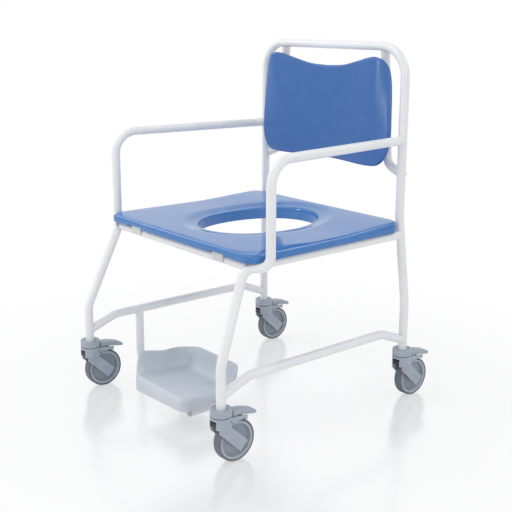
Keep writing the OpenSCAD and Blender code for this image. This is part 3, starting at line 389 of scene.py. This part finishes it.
def seat_section(d):
    """Section from the opening's wall over the deck and down the lip: distance from the opening, height."""
    rim = SEAT_TOP - DISH_DEEP
    wall = [(0, RIM_LOW + RIM_FOOT), (0, WALL_MID), (0, WALL_HIGH)]
    wall += arc(RIM_R, rim - RIM_R, RIM_R, RIM_R, 180, 90, 6)
    dish = [(RIM_R + (DISH_WIDE - RIM_R) * n / DISH_STEPS, rim + DISH_DEEP * ease(n / DISH_STEPS))
            for n in range(1, DISH_STEPS + 1)]
    flat = [(DISH_WIDE + (d - EDGE_OUT - DISH_WIDE) * n / 5, SEAT_TOP) for n in range(1, 5)]
    edge = arc(d - EDGE_OUT, SEAT_TOP - EDGE_DOWN, EDGE_OUT, EDGE_DOWN, 90, 0, 9)
    lip = [(d, LIP_HIGH), (d - 0.3, LIP_MID)] + arc(d - 2.4, SEAT_LOW + LIP_R, LIP_R, LIP_R, 0, -90, 3)
    lip_inside = [(d - 4.6, SEAT_LOW), (d - 5.6, SEAT_LOW + 0.8), (d - LIP_T, SEAT_DECK - 0.6)]
    underside = [(d - LIP_T - 1, SEAT_DECK), (60, SEAT_DECK), (9, SEAT_DECK), (7.6, SEAT_DECK - 1)]
    wall_outside = [(WALL_T, RIM_LOW + RIM_FOOT), (5.8, RIM_LOW), (1.4, RIM_LOW), (0.3, RIM_LOW + 0.9)]
    return wall + dish + flat + edge + lip + lip_inside + underside + wall_outside


print("seat section points:", len(seat_section(2 * DISH_WIDE)))

# %% [markdown]
# The deck rises a little toward the rear, as the picture shows, and the notches are pressed up into the
# lip. Both could be sculpted afterwards, but as rules on each point they stay exact and smooth.

# %% Seat shell
SEAT_FRONT, SEAT_REAR, FRONT_HALF, REAR_HALF = -222, 273.0, 294, 280
LEFT_R, REAR_R, RIGHT_R = 26, 30, 32
HOLE_HALF, HOLE_LONG, HOLE_Y, HOLE_POWER = 126.0, 165.0, 46.0, 2.15
SEAT_RISE, RISE_ABOVE, EDGE_GAP = 8.0, 455.5, 0.01
NOTCH_X, NOTCH_HALF, NOTCH_LIFT, NOTCH_SOFT = 170.0, 32.0, 4.8, 0.8
LIP_ZONE, FRONT_LINE = 6.5, -215
notch_stations = [s * (NOTCH_X + e * NOTCH_HALF) + o
                  for s in (-1, 1) for e in (-1, 1) for o in (-1.5, -NOTCH_SOFT, NOTCH_SOFT, 1.5)]
seat_outline = round_plate(FRONT_HALF, REAR_HALF, SEAT_FRONT, SEAT_REAR, LEFT_R, REAR_R, RIGHT_R,
                           notch_stations)


def seat_station(x, y):
    """One station of the outline: its section as points in space."""
    outward = Vector((x, y - HOLE_Y)).normalized()
    oval = abs(outward.x / HOLE_HALF) ** HOLE_POWER + abs(outward.y / HOLE_LONG) ** HOLE_POWER
    start = Vector((0, HOLE_Y)) + outward * oval ** (-1 / HOLE_POWER)
    d = (Vector((x, y)) - start).length
    points = []
    for s, z in seat_section(d):
        at = start + outward * s
        if z > RISE_ABOVE and s < d - EDGE_GAP:
            z += SEAT_RISE * ease((at.y - HOLE_Y) / (SEAT_REAR - HOLE_Y))
        elif s > d - LIP_ZONE and y < FRONT_LINE:
            inside = NOTCH_HALF + NOTCH_SOFT - abs(abs(at.x) - NOTCH_X)
            z = max(z, SEAT_LOW + NOTCH_LIFT * ease(inside / (2 * NOTCH_SOFT)))
        points.append((at.x, at.y, z))
    return points


seat_points = [seat_station(x, y) for x, y in seat_outline]
seat = wrap_grid("seat_shell", len(seat_points), len(seat_points[0]),
                 lambda i, j: seat_points[i % len(seat_points)][j % len(seat_points[0])])
finish_piece(seat, "seat_unit", seat_blue, "seat_blue", "seat")
print("seat faces:", len(seat.data.polygons))

# %% [markdown]
# ### Backrest
# The backrest is a bowed board with two flatter wings: a soft fold runs down each side and catches the
# light. A bevelled plate with a bend would do for the bow but not for the fold. So the front face is a
# formula of width and height, and the outline is a smooth curve through a few points, as shares of the
# half width and height.

# %% Backrest face
BACK_HALF, BACK_LOW, BACK_HIGH = 244.0, 601.0, 871.0
BACK_FACE, BACK_BOWL, BACK_WING = 268.0, 18.0, 24.0
FOLD_LOW, FOLD_HIGH, FOLD_SOFT = 150.0, 196.0, 0.22
EVEN_SHARE, CORNER_SHARE = 0.62, 0.38


def soft(q):
    """q where it is positive, nearly zero where it is not, with a round change between."""
    return (q + math.sqrt(q * q + FOLD_SOFT * FOLD_SOFT)) / 2


def back_front(x, z):
    """How far back the front face lies at a point of the board."""
    up = min(max((z - BACK_LOW) / (BACK_HIGH - BACK_LOW), 0), 1)
    fold = FOLD_LOW + (FOLD_HIGH - FOLD_LOW) * up
    past = soft((abs(x) - fold) / (BACK_HALF - fold))
    wing = BACK_WING * (EVEN_SHARE * up ** 0.45 * past + CORNER_SHARE * up ** 3 * past ** 2)
    return BACK_FACE - BACK_BOWL * (1 - soft(1 - (x / fold) ** 2) / soft(1)) + wing


print("backrest face at the middle:", back_front(0, BACK_LOW))
print("and at an upper corner:", round(back_front(BACK_HALF, BACK_HIGH), 1))

# %% [markdown]
# The board itself is the outline drawn in to its middle, row by row, once on the front face and once on
# the rear, with a half-round rim between. Thickening a sheet would give a square rim, and a bevel on it
# would pinch at the corners.

# %% Backrest board
BACK_THICK, RIM_THINNER, THIN_FROM, RIM_SHARE = 15, 4, 0.7, 0.035
HALF_STEPS, FACE_STEPS, RIM_STEPS = 135, 24, 12
back_shares = [
    (0, 0.898), (0.25, 0.91), (0.48, 0.953), (0.64, 0.987), (0.76, 1), (0.858, 0.974), (0.92, 0.907),
    (0.95, 0.805), (0.967, 0.66), (0.979, 0.48), (0.987, 0.33), (0.976, 0.19), (0.938, 0.098), (0.87, 0.03),
    (0.76, 0.003), (0.5, 0), (0.25, 0.005), (0, 0.008),
]
left_half = [spline(back_shares, n / HALF_STEPS) for n in range(HALF_STEPS + 1)]
back_outline = left_half + [(-x, z) for x, z in left_half[-2:0:-1]]
back_middle = (BACK_LOW + BACK_HIGH) / 2
front_rows = [((1 - RIM_SHARE) * n / FACE_STEPS, 0.0) for n in range(FACE_STEPS)]
rim_turns = [math.pi * n / RIM_STEPS for n in range(RIM_STEPS + 1)]
rim_rows = [(1 - RIM_SHARE * (1 - math.sin(a)), (1 - math.cos(a)) / 2) for a in rim_turns]
back_rows = front_rows + rim_rows + [(share, 1.0) for share, depth in front_rows[::-2]] + [(0, 1.0)]


def back_place(i, j):
    """Point i of the outline, drawn in to row j's share of its distance and set back by the row's depth."""
    share, depth = back_rows[j]
    x, z = back_outline[i % len(back_outline)]
    at_x = share * x * BACK_HALF
    at_z = back_middle + share * (BACK_LOW + z * (BACK_HIGH - BACK_LOW) - back_middle)
    thick = BACK_THICK - RIM_THINNER * ease((share - THIN_FROM) / (1 - THIN_FROM))
    return at_x, back_front(at_x, at_z) + depth * thick, at_z


backrest = wrap_grid("backrest_board", len(back_outline), len(back_rows) - 1, back_place)
finish_piece(backrest, "frame", back_blue, "back_blue", "backrest")
print("backrest faces:", len(backrest.data.polygons))

# %% [markdown]
# ### Foot tray
# The tray is a thin tub that the feet stand in: a sloping floor, a wall on the right and at the rear, and
# an edge that rolls down at the front and at the near side. A solidified sheet would have one wall height
# all round. So two sections are written down, one with the wall and one with the rolled edge, in tray
# thicknesses outward and in shares of the wall's height, and each station of the outline takes its own
# mix of the two.

# %% Tray section
TRAY_HALF, TRAY_FRONT, TRAY_REAR, TRAY_T = 115.0, -278.0, -108.0, 3.6
FLOOR_FRONT, FLOOR_FALL = 86, 12
RIGHT_WALL_RUN, NEAR_WALL_START, NEAR_WALL_RUN = 34.1, -200, 90
wall_out = (-7.6, -5.8, -3.9, -2.1, -0.5, 1.2, 1.9, 2.7, 2.6, 2.0, 1.1, -0.6, -2.6, -4.2)
wall_up = (0, 0.02, 0.09, 0.22, 0.45, 0.92, 1, 0.98, 0.9, 0.56, 0.26, 0, -0.08, -0.08)
skirt_out = (-4.2, -2.6, -1.4, -0.4, 0, 0.15, 0.2, -0.5, -0.8, -0.9, -1.1, -2, -2.6, -4.2)
skirt_down = (0, 0, 0.05, 0.14, 0.32, 0.86, 1, 1, 0.92, 0.5, 0.3, 0.16, 0.12, 0.12)
FIRST_UNDERSIDE = 12


def tray_floor(y):
    """Height of the sloping floor."""
    return FLOOR_FRONT - FLOOR_FALL * (y - TRAY_FRONT) / (TRAY_REAR - TRAY_FRONT)


def wall_share(x, y):
    """1 where the wall stands, 0 where the edge rolls down."""
    if x < 0:
        return ease((y - TRAY_FRONT) / RIGHT_WALL_RUN)
    return min(max((y - NEAR_WALL_START) / NEAR_WALL_RUN, 0), 1)


print("tray floor from", tray_floor(TRAY_FRONT), "to", tray_floor(TRAY_REAR))

# %% [markdown]
# The wall's height changes along its way: it dips on the right and rises to a small horn in front. Such a
# rim could be cut with a knife. Here each station works out its own height, and a curve through its
# points rounds every corner of the section.

# %% Tray shell
TRAY_TOP, TRAY_HORN, HORN_FROM, HORN_RUN = 131.0, 4.0, 0.59, 0.29
TRAY_DIP, DIP_FROM, DIP_RUN = 9.0, 0.52, 0.44
TRAY_SKIRT, SKIRT_FALL = 55.0, 8.0
NEAR_R, BACK_R, FAR_R = 22, 36, 31
SECTION_STEPS, FLOOR_STEPS = 52, 6
tray_outline = round_plate(TRAY_HALF, TRAY_HALF, TRAY_FRONT, TRAY_REAR, NEAR_R, BACK_R, FAR_R)
middle_y = (TRAY_FRONT + TRAY_REAR) / 2
floor_middle = (0, middle_y, tray_floor(middle_y))
under_middle = (0, middle_y, tray_floor(middle_y) - TRAY_T)


def tray_station(i):
    """One station of the outline: its section as points in space."""
    x, y = tray_outline[i]
    before, after = tray_outline[i - 1], tray_outline[(i + 1) % len(tray_outline)]
    along = (Vector(after) - Vector(before)).normalized()
    share, floor = wall_share(x, y), tray_floor(y)
    top = TRAY_TOP - TRAY_DIP * ease((-x / TRAY_HALF - DIP_FROM) / DIP_RUN)
    if x < 0:
        top += (TRAY_HORN + TRAY_DIP) * ease((y / TRAY_FRONT - HORN_FROM) / HORN_RUN)
    skirt = TRAY_SKIRT - SKIRT_FALL * (1 - x / TRAY_HALF) / 2
    points = []
    for j in range(len(wall_out)):
        out = TRAY_T * (skirt_out[j] + (wall_out[j] - skirt_out[j]) * share)
        at_x, at_y = x + along.y * out, y - along.x * out
        down, up = -skirt_down[j] * (floor - skirt), wall_up[j] * (top - floor)
        lift = -TRAY_T if j >= FIRST_UNDERSIDE else down + (up - down) * share
        points.append((at_x, at_y, tray_floor(at_y) + lift))
    smooth = [spline(points, n / SECTION_STEPS) for n in range(SECTION_STEPS + 1)]
    inner = [tuple(a + (b - a) * n / FLOOR_STEPS for a, b in zip(floor_middle, smooth[0]))
             for n in range(FLOOR_STEPS)]
    outer = [tuple(a + (b - a) * n / FLOOR_STEPS for a, b in zip(smooth[-1], under_middle))
             for n in range(1, FLOOR_STEPS + 1)]
    return inner + smooth + outer


tray_points = [tray_station(i) for i in range(len(tray_outline))]
tray = wrap_grid("tray_shell", len(tray_points), len(tray_points[0]) - 1,
                 lambda i, j: tray_points[i % len(tray_points)][j])
finish_piece(tray, "frame", tray_grey, "tray_plastic", "footrest_tray")
print("tray faces:", len(tray.data.polygons))

# %% [markdown]
# ## Castors
# A castor is round almost everywhere. Cylinders with bevels would do for its wheel and cup, but the
# sections have steps and hollows, so they are turned, as on a lathe: a ring of points is laid along the
# section and spun once about the axle or the stem. Each piece is modelled once and then copied to the
# four castors, whose places come from the swivel joints of the frame.


# %% Spin a section, copy to four castors
CORNER_STEPS, SPIN_STEPS = 4, 72
SIDEWAYS, UPWARD = Vector((1, 0, 0)), Vector((0, 0, 1))


def soft_corners(corners):
    """A closed outline through corners (u, v, radius), each rounded off."""
    outline = []
    for k, (u, v, r) in enumerate(corners):
        here = Vector((u, v))
        ends = (Vector(corners[k - 1][:2]), Vector(corners[(k + 1) % len(corners)][:2]))
        a, c = (here + (end - here).normalized() * r for end in ends)
        for n in range(CORNER_STEPS + 1):
            t = n / CORNER_STEPS
            outline.append(a * (1 - t) ** 2 + here * (2 * t * (1 - t)) + c * t ** 2)
    return outline


def both_sides(half):
    """A section from one half of it: the half and its mirror image across the wheel's middle plane."""
    return half + [(far, -along, r) for far, along, r in half[::-1]]


def spun(name, corners, middle, axis):
    """Lay a ring of points along a section (distance from the axis, place along it, radius) and spin it."""
    section = soft_corners(corners)
    bpy.ops.object.select_all(action="DESELECT")
    bpy.ops.mesh.primitive_circle_add(vertices=len(section), radius=0.01)
    piece = bpy.context.object
    piece.name = piece.data.name = name
    out = Vector((0, 1, 0)) if axis.x else Vector((1, 0, 0))
    for point, (far, along) in zip(piece.data.vertices, section):
        point.co = (middle + out * far + axis * along) * MM
    bpy.ops.object.mode_set(mode="EDIT")
    bpy.ops.mesh.select_all(action="SELECT")
    bpy.ops.mesh.spin(steps=SPIN_STEPS, angle=math.tau, center=middle * MM, axis=axis)
    bpy.ops.object.mode_set(mode="OBJECT")
    close_and_smooth()
    return piece


swivels = {row["name"]: row["pos_m"] for row in frame["joints"] if row["name"].endswith("_turn")}
CASTORS = {key: swivels[key + "_turn"] for key in ("fl", "fr", "rl", "rr")}


def on_each_castor(model, body, finish, slot, *kind):
    """Copy a model to the four castors, each with its own mesh; kind names the CAD node it stands for."""
    for key, (x, y, z) in CASTORS.items():
        copy = model.copy()
        copy.data = model.data.copy()
        copy.name = copy.data.name = key + "_" + model.name
        bpy.context.scene.collection.objects.link(copy)
        copy.data.transform(Matrix.Translation(Vector((x, y, 0))))
        finish_piece(copy, key + "_" + body, finish, slot, *[key + "_" + name for name in kind])
    bpy.data.objects.remove(model)


print("castors:", CASTORS)

# %% [markdown]
# The wheel is a grey centre with a proud round ring and a sunk disc with a hub, and a dark tyre that
# shows as a thin line beside the ring. One turned solid would look the same but for the colours, so ring,
# disc and tyre are turned one by one and each keeps its finish. The disc's darker grey is painted shade
# for its recess.

# %% Wheel centre and tyre
AXLE = Vector((0, 36, 50))
ring_half = [(37.0, 1.5, 0.6), (39.4, 10.8, 2.0), (45.4, 11.4, 1.6)]
ring = spun("wheel_ring", both_sides(ring_half), AXLE, SIDEWAYS)
on_each_castor(ring, "wheel", rim_grey, "rim_grey", "rim")
disc_half = [(4.3, 12.6, 0.4), (10.5, 12.6, 1.6), (12, 3.6, 3), (37.6, 2.4, 0.5)]
disc = spun("wheel_disc", both_sides(disc_half), AXLE, SIDEWAYS)
# the disc's darker grey is painted shade for its recess
on_each_castor(disc, "wheel", disc_grey_painted_shade, "rim_grey")
tyre_half = [(45.5, 10.6, 0.3), (47.2, 12.6, 1.0), (49.9, 10.5, 2.4)]
tyre = spun("wheel_tyre", both_sides(tyre_half), AXLE, SIDEWAYS)
on_each_castor(tyre, "wheel", tyre_rubber, "tyre", "tyre")
print("wheel pieces: 3 on each castor")

# %% [markdown]
# On top of the fork sits a shallow cup that the leg stands in, and a flat round cover hides each end of
# the axle. Both are turned in the same way, the cup about the upright stem and the covers about the axle.

# %% Stem cup and axle covers
STEM = Vector((0, 0, 0))
cup_section = [
    (9, 116.2, 0.4), (22.4, 116.2, 0.3), (22.4, 117.4, 0.3), (25, 117.4, 0.6), (25, 134, 1.8),
    (20.8, 134, 1.6), (18.4, 131.2, 1.6), (11.7, 130.8, 0.4), (11.7, 124.8, 0.2), (9, 124.8, 0.2),
]
on_each_castor(spun("stem_cup", cup_section, STEM, UPWARD), "swivel", castor_grey, "castor_grey", "cap")
cover_section = [(0.05, 18.3, 0), (8.6, 18.3, 0.2), (8.6, 18.9, 0.3), (0.05, 18.9, 0)]
for side, sign in (("left", 1), ("right", -1)):
    section = [(far, sign * along, r) for far, along, r in cover_section]
    on_each_castor(spun("axle_cover_" + side, section, AXLE, SIDEWAYS), "swivel", castor_grey, "castor_grey")
print("turned castor pieces: 6 on each castor")

# %% [markdown]
# The brake pedal is a long tongue: a flat section that travels out from the housing, droops toward its
# tip and carries four foot grooves. A stretched box with bevels would lose the droop and the round tip. A
# grid wrapped along the path gives both, with the grooves pressed in. Each row says how far out it lies,
# its low and high edge and its half width.

# %% Brake pedal
pedal_root = [
    (-13, 99.2, 104.3, 12.4), (9.4, 99.2, 104.3, 12.4), (9.8, 99.4, 108.4, 12.4), (25.0, 103.0, 108.4, 12.6),
]
pedal_blade = [
    (25.8, 104.0, 121.4, 12.8), (36, 108, 122.8, 12.8), (46, 108, 122.8, 12.8), (57, 107.4, 120.8, 12.8),
    (66, 105, 118.4, 12.8), (76, 102.8, 115.4, 12.8), (84, 101.4, 112.4, 12.4), (90.5, 100.4, 109, 11.0),
    (95, 99.8, 105.6, 7.4), (97.2, 100.4, 102.8, 2.6),
]
BLADE_STEPS, ROUND_STEPS, SQUARENESS = 45, 64, 0.32
GROOVES, GROOVE_WIDE, GROOVE_DEEP, GROOVE_START, GROOVE_RUN = (-8, -3, 3, 8), 1.0, 0.9, 46, 12
FLAT_FROM, FLAT_RUN = 0.9, 0.1
pedal_rows = pedal_root + [spline(pedal_blade, n / BLADE_STEPS) for n in range(BLADE_STEPS + 1)]
pedal_rows = pedal_rows[:1] + pedal_rows + pedal_rows[-1:]


def square_off(v):
    """Push a sine or cosine outward, which makes a circle squarer."""
    return math.copysign(abs(v) ** SQUARENESS, v)


def pedal_place(i, j):
    """Point i round a soft-cornered section, row j along the tongue; the end rows close to a point."""
    y, low, high, half = pedal_rows[j]
    size = 0.0 if j in (0, len(pedal_rows) - 1) else 1.0
    turn = math.tau * (i + 0.5) / ROUND_STEPS
    u, v = square_off(math.cos(turn)) * size, square_off(math.sin(turn)) * size
    groove = sum(math.exp(-((u * half - x) / GROOVE_WIDE) ** 2) for x in GROOVES)
    groove *= ease((y - GROOVE_START) / GROOVE_RUN) * ease((v - FLAT_FROM) / FLAT_RUN)
    return u * half, y, (low + high) / 2 + v * (high - low) / 2 - GROOVE_DEEP * groove


pedal = wrap_grid("brake_tongue", ROUND_STEPS, len(pedal_rows) - 1, pedal_place)
on_each_castor(pedal, "brake", castor_grey, "castor_grey", "pedal")
print("pedals:", len(CASTORS))

# %% [markdown]
# ## Welded ends
# Behind the backrest each stay ends beside its upright. A welder closes such an open end with a bead. A
# flat disc would close it too, but a bead is round, so a low dome is turned like the castor pieces,
# tilted along the stay and set on the end. The front rail's ends are filled in the same way where they
# meet the bent side tubes.

# %% Weld caps on the stays and the front rail
STAY_END, STAY_BEND, RAIL = Vector((261, 296, 584)), Vector((205, 296, 606)), Vector((0, -203, 435))
dome = [(0.05, -2.5, 0), (10.4, -2.5, 0.3), (11.2, -0.6, 0.9), (9.6, 1.0, 1.4), (0.05, 1.8, 0)]
rail_plug = [(0.05, 232, 0), (10.9, 232, 0.3), (10.9, 259, 3), (7.5, 264, 2), (0.05, 264.5, 0)]
for side, sign in (("left", 1), ("right", -1)):
    cap = spun(side + "_stay_cap", dome, STEM, UPWARD)
    end = Vector((sign * STAY_END.x, STAY_END.y, STAY_END.z))
    run = end - Vector((sign * STAY_BEND.x, STAY_BEND.y, STAY_BEND.z))
    cap.data.transform(Matrix.Translation(end * MM) @ run.to_track_quat("Z", "Y").to_matrix().to_4x4())
    finish_piece(cap, "frame", white_paint, "white_paint")
for side, sign in (("left", 1), ("right", -1)):
    cap = spun(side + "_rail_cap", [(far, sign * along, r) for far, along, r in rail_plug], RAIL, SIDEWAYS)
    finish_piece(cap, "frame", white_paint, "white_paint")
print("weld caps: 4")

# %% [markdown]
# ## Floor
# The chair stands on a white sweep that fades out, with a soft shadow and faint mirror images below the
# wheels. A shadow catcher would need a second picture to lay it on. Instead the floor mixes its own lit
# colour with a glow for the camera alone, white far off and a little grey near the chair as painted shade,
# which keeps the shadows and loses the horizon. A weak blurred mirror near the chair gives the images below
# the wheels.

# %% Floor
FLOOR_SIZE, FLOOR_DROP = 60, 0.0005
NEAR, FAR = 0.4, 1.3
GLOW_NEAR, MIRROR_NEAR = 0.80, 0.25
bpy.ops.object.select_all(action="DESELECT")
bpy.ops.mesh.primitive_plane_add(size=FLOOR_SIZE, location=(0, 0, -FLOOR_DROP))
floor = bpy.context.object
floor.name = "floor"
floor_paint = bpy.data.materials.new("floor_paint")
floor_paint.use_nodes = True
tree = floor_paint.node_tree
tree.nodes.clear()
rays = Wire(tree, tree.nodes.new("ShaderNodeLightPath").outputs["Is Camera Ray"])
matt = rays.node("ShaderNodeBsdfDiffuse", Color=(0.88, 0.88, 0.885, 1))
mirror = rays.node("ShaderNodeBsdfGlossy", Color=(1, 1, 1, 1), Roughness=0.18)
spot = rays.node("ShaderNodeNewGeometry")
reach = rays.node("ShaderNodeVectorMath", output=1, settings={"operation": "LENGTH"}, i0=spot)
away = reach.between(NEAR, FAR)
# painted shade: the glow is a little grey near the chair and white far off
glow = rays.node("ShaderNodeEmission", Color=away.blend((0.955, 0.955, 0.96, 1), (1, 1, 1, 1)), Strength=1.0)
pale = rays.node("ShaderNodeMixShader", i0=rays * (GLOW_NEAR + (1 - GLOW_NEAR) * away), i1=matt, i2=glow)
shown = rays.node("ShaderNodeMixShader", i0=MIRROR_NEAR * (1 - away), i1=pale, i2=mirror)
out = tree.nodes.new("ShaderNodeOutputMaterial")
tree.links.new(shown.socket, out.inputs["Surface"])
floor.data.materials.append(floor_paint)
print("floor:", floor.name)

# %% [markdown]
# ## Light
# A studio tent lights the chair from everywhere, so the world does the same. A photographed sky would
# bring a room's colours with it. A plain one stays neutral: it is white where the camera or a mirror sees
# it, and a little dimmer as light, so that white paint keeps its shading.

# %% World
SKY_LIGHT = 0.74
world = bpy.data.worlds.new("studio")
bpy.context.scene.world = world
world.use_nodes = True
tree = world.node_tree
tree.nodes.clear()
path = tree.nodes.new("ShaderNodeLightPath").outputs
seen = Wire(tree, path["Is Camera Ray"]) + Wire(tree, path["Is Glossy Ray"])
seen = (seen + Wire(tree, path["Is Transmission Ray"])).math("MINIMUM", 1.0)
dim_sky = seen.node("ShaderNodeBackground", Color=(0.97, 0.985, 1, 1), Strength=SKY_LIGHT)
white_sky = seen.node("ShaderNodeBackground", Color=(1, 1, 1, 1), Strength=1.0)
both = seen.node("ShaderNodeMixShader", i0=seen, i1=dim_sky, i2=white_sky)
out = tree.nodes.new("ShaderNodeOutputWorld")
tree.links.new(both.socket, out.inputs["Surface"])
print("world:", world.name)

# %% [markdown]
# The tent alone would leave the tubes flat, so lamps model them: a large key on the sitter's right, one
# overhead in front, one behind, a fill on the sitter's left, and a small low one in front that draws the
# pale streak down the backrest's fold. One lamp could do the key's work, but the glossy seat would mirror
# it as a white patch in some views. So most of the key is hidden from mirrors, and a weaker lamp just
# before it gives the edges their sheen.


# %% Lamps
def lamp(name, place, target, wide, high, watts):
    """A soft rectangular lamp that looks at a target."""
    light = bpy.data.lights.new(name, "AREA")
    light.shape = "RECTANGLE"
    light.size, light.size_y, light.energy = wide, high, watts
    made = bpy.data.objects.new(name, light)
    bpy.context.scene.collection.objects.link(made)
    made.location = place
    made.rotation_euler = (Vector(target) - Vector(place)).to_track_quat("-Z", "Y").to_euler()
    return made


key = lamp("key", (-2.9, -1.3, 2.3), (0, 0, 0.4), 1.2, 1.2, 22)
key.visible_glossy = False
lamp("sheen", (-2.75, -1.23, 2.2), (0, 0, 0.4), 1.2, 1.2, 10)
lamp("front", (-0.1, -1.25, 3.2), (0, -0.15, 0.2), 1.4, 1.4, 18)
lamp("rear", (1.3, 2.2, 2.7), (0, 0, 0.4), 0.8, 0.8, 10)
lamp("fill", (3.0, -1.0, 1.25), (0, 0, 0.2), 1.8, 1.8, 14)
lamp("streak", (-1.02, -2.80, 0.84), (0.2, 0.26, 0.85), 0.5, 0.2, 6)
bpy.context.scene.view_settings.view_transform = "Standard"
print("lamps: 6")
